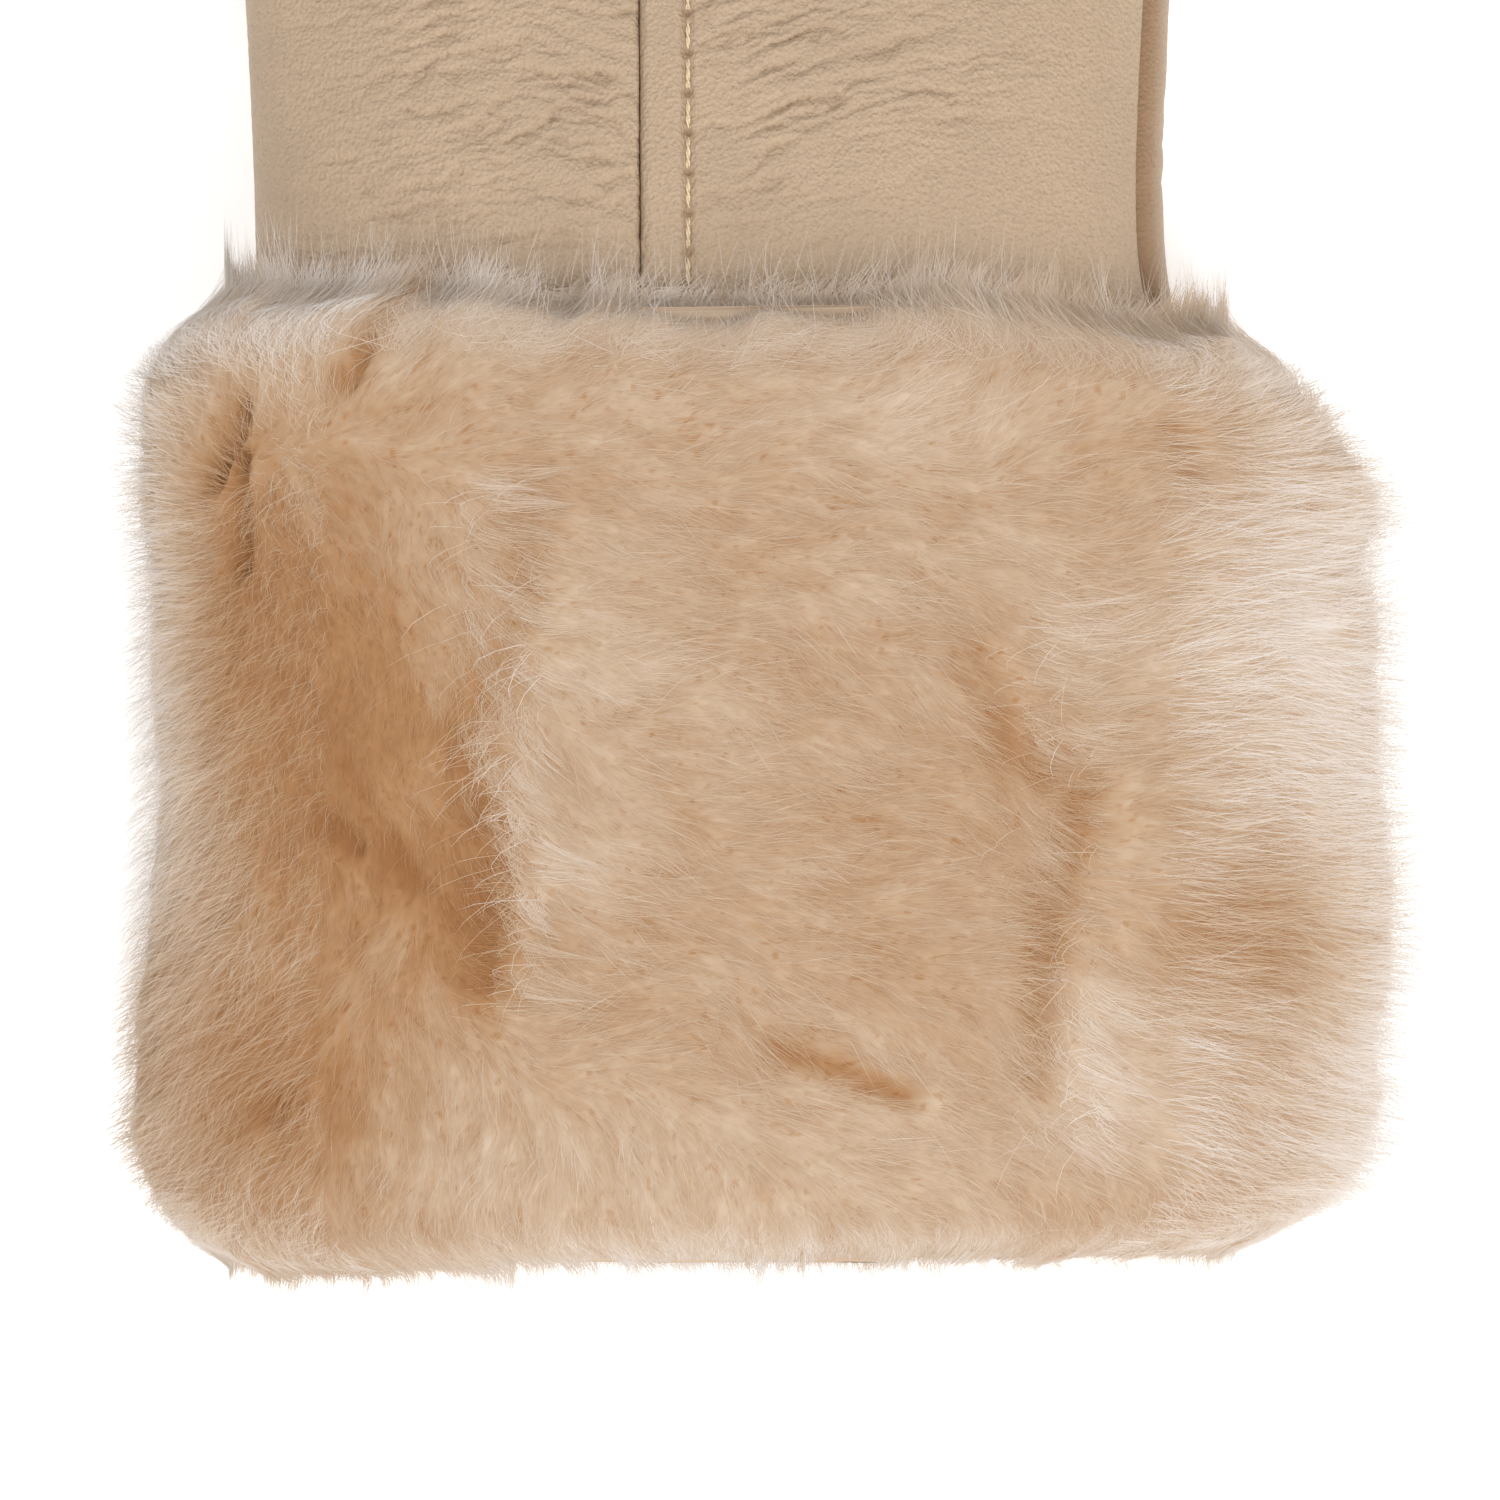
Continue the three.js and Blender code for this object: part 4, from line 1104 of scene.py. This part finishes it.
def grow(name, left, right, low, high, count, seed, under=False, segments=2, width=0.075, reach=0.42,
         hold=0.3, lock=1.6, stray=0.05, rise=0.04, bleach_and_painted_light=0.0, jitter=0.3, sweep=None):
    """Hairs rooted between two lengths and two heights. Place = root + lean t^1.3, drawn to its lock's as
    t^1.5 by the share hold. Depth goes from below the plush to a little above it as 1 - (1 - t)^1.6. Up
    to 8 hairs in 100 move to within 6 mm of each end of the cuff. Past its top they hang a little, by
    0.1 times the overhang^1.4. lock is a lock's size, and sweep a direction to use in place of the
    brushing."""
    random = np.random.default_rng(seed)
    u = random.uniform(left, right, count)
    v = low + (high - low) * random.random(count)
    rim = random.random(count)
    v = np.where((rim < 0.08) & (high > 90), high - 6 * random.random(count), v)
    v = np.where((rim > 0.92) & (low < 2), low + 6 * random.random(count), v)
    stand, pale, flow, lean = wool_stand(u, v, under)
    if sweep is not None:
        flow, lean = np.tile(np.array(sweep, float), (count, 1)), np.full(count, 7.0)
    own = turned_by(flow, random.normal(0, jitter, count))
    centre, label = gathered(u, v, lock, 101)
    centre_flow, centre_lean, _, _ = wool_flow(centre[:, 0], np.clip(centre[:, 1], 0, CUFF_TOP), under)
    is_stray = random.random(count) < stray
    edge = mix(0.75, 1.0, smooth((CUFF_TOP - v) / 8)) * mix(0.5, 1.0, smooth(v / 8))
    long = reach * (0.7 + 0.6 * random.random(count)) * np.where(is_stray, 1.7, 1.0) * edge
    long = long[:, None, None]
    t = np.linspace(0, 1, segments + 1)[None, :, None]
    free = np.stack([u, v], -1)[:, None] + (own * lean[:, None])[:, None] * long * t**1.3
    drawn = centre[:, None] + (centre_flow * centre_lean[:, None])[:, None] * long * t**1.3
    pull = np.where(is_stray, 0.3, 1.0)[:, None, None] * hold * (0.6 + 0.8 * label)[:, None, None]
    place = free + (drawn - free) * pull * t**1.5
    below = PLUSH_DEPTH - stand / PILE_TOP
    tip = below - rise * (0.2 + 1.6 * random.random(count))
    tip = tip - np.where(is_stray, 0.02 + 0.13 * random.random(count) ** 2, 0)
    depth = (below + 0.04)[:, None] + (tip - below - 0.04)[:, None] * (1 - (1 - t[..., 0]) ** 1.6)
    spine = wool_at(place[..., 0], place[..., 1], depth)
    hang = np.maximum(place[..., 1] - CUFF_TOP, 0)
    spine[..., 2] -= np.minimum(0.10 * hang**1.4, 1.2) * (np.sin(turn_of(place[..., 0])) > 0)
    up = wool_normal(place[..., 0], place[..., 1])
    forward = np.gradient(spine, axis=1)
    forward /= np.maximum(np.linalg.norm(forward, axis=-1, keepdims=True), 1e-9)
    side = np.cross(forward, up)
    side /= np.maximum(np.linalg.norm(side, axis=-1, keepdims=True), 1e-9)
    thick = width * (0.7 + 0.6 * random.random(count)) * np.where(is_stray, 0.7, 1.0)
    half = side[:, :-1] * (0.5 * thick[:, None] * (1 - 0.5 * t[..., 0] ** 2)[:, :-1])[..., None]
    pairs = np.stack([spine[:, :-1] - half, spine[:, :-1] + half], 2).reshape(count, -1, 3)
    points = np.concatenate([pairs, spine[:, -1:]], 1)
    points[..., 2] = np.maximum(points[..., 2], 0.0)
    normal = 0.85 * up + 0.15 * np.cross(side, forward)
    normal = np.concatenate([np.repeat(normal[:, :-1], 2, axis=1), normal[:, -1:]], 1)
    normal /= np.linalg.norm(normal, axis=-1, keepdims=True)
    # Strays are paler as painted light at the fur's edges; the extra paleness passed in is partly the wool's
    # own bleaching and partly painted light or shade.
    tone = pale + bleach_and_painted_light + random.normal(0, 0.035, count) + np.where(is_stray, 0.15, 0)
    return weave_ribbons(name, points, normal, np.clip(tone, 0.03, 0.97), t[0, :, 0])


# %% Hairs of each piece, the tufts along the top and the locks beside the partings
# The tufts along the top are paler, into the ramp's grey, which is painted shade; the parting locks are paler
# in their own colour.
tufts = dict(segments=3, width=0.058, reach=1.0, hold=0.5, lock=2.4, rise=0.06, bleach_and_painted_light=0.12, jitter=0.6,
             sweep=(-0.2, 1))
parting_locks = dict(segments=4, width=0.07, reach=0.75, hold=0.8, lock=2.6, rise=0.03)
hair_pieces = [
    grow("left_hairs", LEFT_WRAP, LEFT_PARTING, 0.5, 93.6, 38000, 1),
    grow("middle_hairs", LEFT_PARTING, RIGHT_PARTING, 0.5, 93.8, 38000, 2),
    grow("right_hairs", RIGHT_PARTING, RIGHT_WRAP, 0.5, 93.6, 38000, 3, stray=0.1),
    grow("under_left_hairs", UNDER_LEFT, LEFT_WRAP, 0.5, 93.5, 11000, 5, True, width=0.13),
    grow("under_right_hairs", RIGHT_WRAP, UNDER_RIGHT, 0.5, 93.5, 11000, 6, True, width=0.13),
    grow("top_tufts", LEFT_WRAP, RIGHT_WRAP, 88.0, 93.9, 26000, 7, **tufts),
    grow("left_parting_locks", LEFT_PARTING - 1, LEFT_PARTING + 7, 26, 80, 3000, 8,
         bleach_and_painted_light=0.16, sweep=(-1, -0.3), **parting_locks),
    grow("right_parting_locks", RIGHT_PARTING + 1, RIGHT_PARTING + 9, 12, 66, 3000, 9,
         bleach_and_painted_light=0.12, sweep=(-1, -0.15), **parting_locks),
]

# %% Soft outline
LEFT_BAND, RIGHT_BAND = (length_of(turn_up(0.86, right)) for right in (False, True))
outline = dict(segments=3, width=0.042, hold=0.6, lock=2.4, jitter=0.5)
# The outline's hairs, at both sides and at the hem, are paler: painted light, where light washes the fur's
# edges out.
standing_off = dict(reach=0.45, rise=0.19, bleach_and_painted_light=0.3)
outline_pieces = [
    grow("left_outline", LEFT_WRAP, LEFT_BAND, 0.5, 93.6, 13000, 11, **outline, **standing_off),
    grow("right_outline", RIGHT_BAND, RIGHT_WRAP, 0.5, 93.6, 14000, 12, **outline, **standing_off),
    grow("hem_outline", LEFT_WRAP, RIGHT_WRAP, 0.3, 5.0, 15000, 13,
         reach=0.8, rise=0.03, bleach_and_painted_light=0.2, sweep=(0.15, -1), **outline),
]
print(len(hair_pieces) + len(outline_pieces), "pieces of single hairs")

# %% [markdown]
# ## Woollen lining
# Inside, the mitt is lined with the short curly wool of a fleece. It is a pad: a wall 4 to 6 mm thick that
# follows the leather outside and is all small curls inside. The curls are a height on the inner face,
# made where noise crosses nought, which leaves rounded ridges that wind about each other.

# %% Curly walls
lining_wool = wool_material("lining wool", False)


def curls(x, y, salt):
    """0 to 1: (1 - |noise|)^2 in cells of 2.6 mm and of 1.3 mm, which peaks along winding lines."""
    large = (1 - np.abs(noise(x / 2.6, y / 2.6, salt))) ** 2
    small = (1 - np.abs(noise(x / 1.3, y / 1.3, salt + 1))) ** 2
    return 0.65 * large + 0.35 * small


def lining(name, surface, turns, stations, outer, inner, nodes, hole=None):
    """A padded wall from depth outer to depth inner - 0.9 + 1.1 curls, paler where the curls stand up.
    hole is the depth at which the thumb's opening is cut."""
    face = surface(turns[None, :], stations, np.full((1, 1), outer))
    middle = surface(turns[None, :], stations, np.full((1, 1), inner))
    stand = curls(run_across(middle), middle[..., 1], 90 + len(name))
    back = surface(turns[None, :], stations, inner - 0.9 + 1.1 * stand)
    tone = np.concatenate([np.full(stand.size, 0.5), 0.45 + 0.4 * stand.ravel()])
    solid = None if hole is None else kept_cells(face, hole)
    piece = wall(name, face, back, lining_wool, nodes, tone, "pale", solid)
    print(name, len(piece.data.polygons), "faces")


tip_stations = TIP_START + (TIP_ROUND - 1.7) * np.sin(TO_THE_POLE)
hand_stations = np.concatenate([np.arange(88.0, TIP_START, 1.3), tip_stations])[:, None]
cuff_stations = np.linspace(2.4, 86.8, 78)[:, None]
upper = even_turns(hand_at, RIGHT_SEAM + 0.01, LEFT_SEAM - 0.01, 84, depth=4.0)
lower = even_turns(hand_at, LEFT_SEAM + 0.01, RIGHT_SEAM + TAU - 0.01, 84, depth=4.0)
cuff_upper = even_turns(skin_at, 0.005, np.pi - 0.005, 96, depth=4.0)
lining("back_wool", hand_at, upper, hand_stations, 1.7, 7.2, ["back_lining"], 5.7)
lining("palm_wool", hand_at, lower, hand_stations, 1.7, 7.2, ["palm_lining"], 5.7)
lining("cuff_back_wool", skin_at, cuff_upper, cuff_stations, 1.5, 7.0, ["cuff_lining_back"])
lining("cuff_palm_wool", skin_at, cuff_upper + np.pi, cuff_stations, 1.5, 7.0, ["cuff_lining_palm"])
for label, start in (("thumb_back", 0.0), ("thumb_palm", np.pi)):
    turns = np.linspace(start + 0.01, start + np.pi - 0.01, 50)
    stations, _ = thumb_rows(turns, 1.7, 7.0, 50, 18)
    lining(label + "_wool", thumb_at, turns, stations, 1.7, 5.7, [label + "_lining"])

# %% [markdown]
# ## Felt and the two hidden seams
# Between the fleece and the lining lies a thin felt, seen only as a line at the hem. It stays as the
# engineering model has it, with a felt material, and so do the two runs of thread at the cuff's ends.

# %% Felt and thread materials
felt, tree, shader = principled("undyed wool felt", Roughness=0.95, Specular_IOR_Level=0.1)
place = node(tree, "ShaderNodeTexCoord").outputs["Object"]
specks = node(tree, "ShaderNodeTexNoise", {"Vector": place, "Scale": 900, "Detail": 3})
mottled = ramp(tree, specks.outputs["Fac"], [(0.3, (0.42, 0.33, 0.24)), (0.7, (0.56, 0.46, 0.35))])
tree.links.new(mottled, shader.inputs["Base Color"])
for label, material in (
    ("cuff_interlining_back", felt), ("cuff_interlining_palm", felt),
    ("cuff_seam_thread", cotton), ("hem_thread", cotton),
):
    mesh = bpy.data.objects[label].data
    mesh.materials.clear()
    mesh.materials.append(material)
print("felt and hidden thread have their materials")

# %% [markdown]
# ## Studio
# The mitt lies on a plain white table, seen from straight above. A big soft light stands past the cuff, a
# little to the right, so that the creases cast small shadows, and a fainter one past the fingertips, on the
# left, softens them. A long lens keeps the thick cuff from being swollen by perspective.

# %% Camera, floor and lights
def studio_area(name, place, size, power, aim=(0.0, -0.05, 0.03)):
    """A square soft light at a place, turned to the aim."""
    light = bpy.data.lights.new(name, "AREA")
    light.shape, light.size, light.energy = "SQUARE", size, power
    holder = bpy.data.objects.new(name, light)
    bpy.context.scene.collection.objects.link(holder)
    holder.location = place
    holder.rotation_euler = (Vector(aim) - Vector(place)).to_track_quat("-Z", "Y").to_euler()


view_x, view_y = (MIDDLE_X + 4.3) * 0.001, (HEM_Y + 51.5) * 0.001
camera = bpy.data.objects.new("camera", bpy.data.cameras.new("camera"))
bpy.context.scene.collection.objects.link(camera)
camera.data.lens, camera.data.sensor_width = 240, 36
camera.data.clip_start, camera.data.clip_end = 0.05, 20
camera.location = (view_x, view_y, 1.038)
bpy.context.scene.camera = camera

floor_mesh = bpy.data.meshes.new("table")
floor_mesh.from_pydata([(-3, -3, 0), (3, -3, 0), (3, 3, 0), (-3, 3, 0)], [], [(0, 1, 2, 3)])
floor = bpy.data.objects.new("table", floor_mesh)
bpy.context.scene.collection.objects.link(floor)
floor.location.z = -0.0002
glow = {"Emission_Color": (1, 1, 1, 1), "Emission_Strength": 0.4}
white, _, _ = principled(
    "white table", Base_Color=(0.93, 0.93, 0.93, 1), Roughness=0.9, Specular_IOR_Level=0.1, **glow
)
floor_mesh.materials.append(white)
floor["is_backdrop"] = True

world = bpy.data.worlds.new("studio")
bpy.context.scene.world = world
world.use_nodes = True
sky = world.node_tree
way = node(sky, "ShaderNodeTexCoord").outputs["Generated"]
direction = node(sky, "ShaderNodeSeparateXYZ", {"Vector": way})
height = node(sky, "ShaderNodeMapRange", {"Value": direction.outputs["Z"], "To Min": 0.35, "To Max": 1.0})
sky.links.new(height.outputs["Result"], sky.nodes["Background"].inputs["Strength"])
sky.nodes["Background"].inputs["Color"].default_value = (1.0, 1.0, 1.0, 1)
studio_area("key", (0.4, -0.9, 1.15), 0.8, 17)
studio_area("fill", (-0.6, 0.6, 1.3), 1.1, 4)
bpy.context.scene.view_settings.view_transform = "Standard"
print("camera over", round(view_x, 4), round(view_y, 4))

# %% [markdown]
# ## Measure and finish
# Last, the box of the finished mitt is measured and printed.

# %% Sizes
low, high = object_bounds()
print("visual box", low, high)
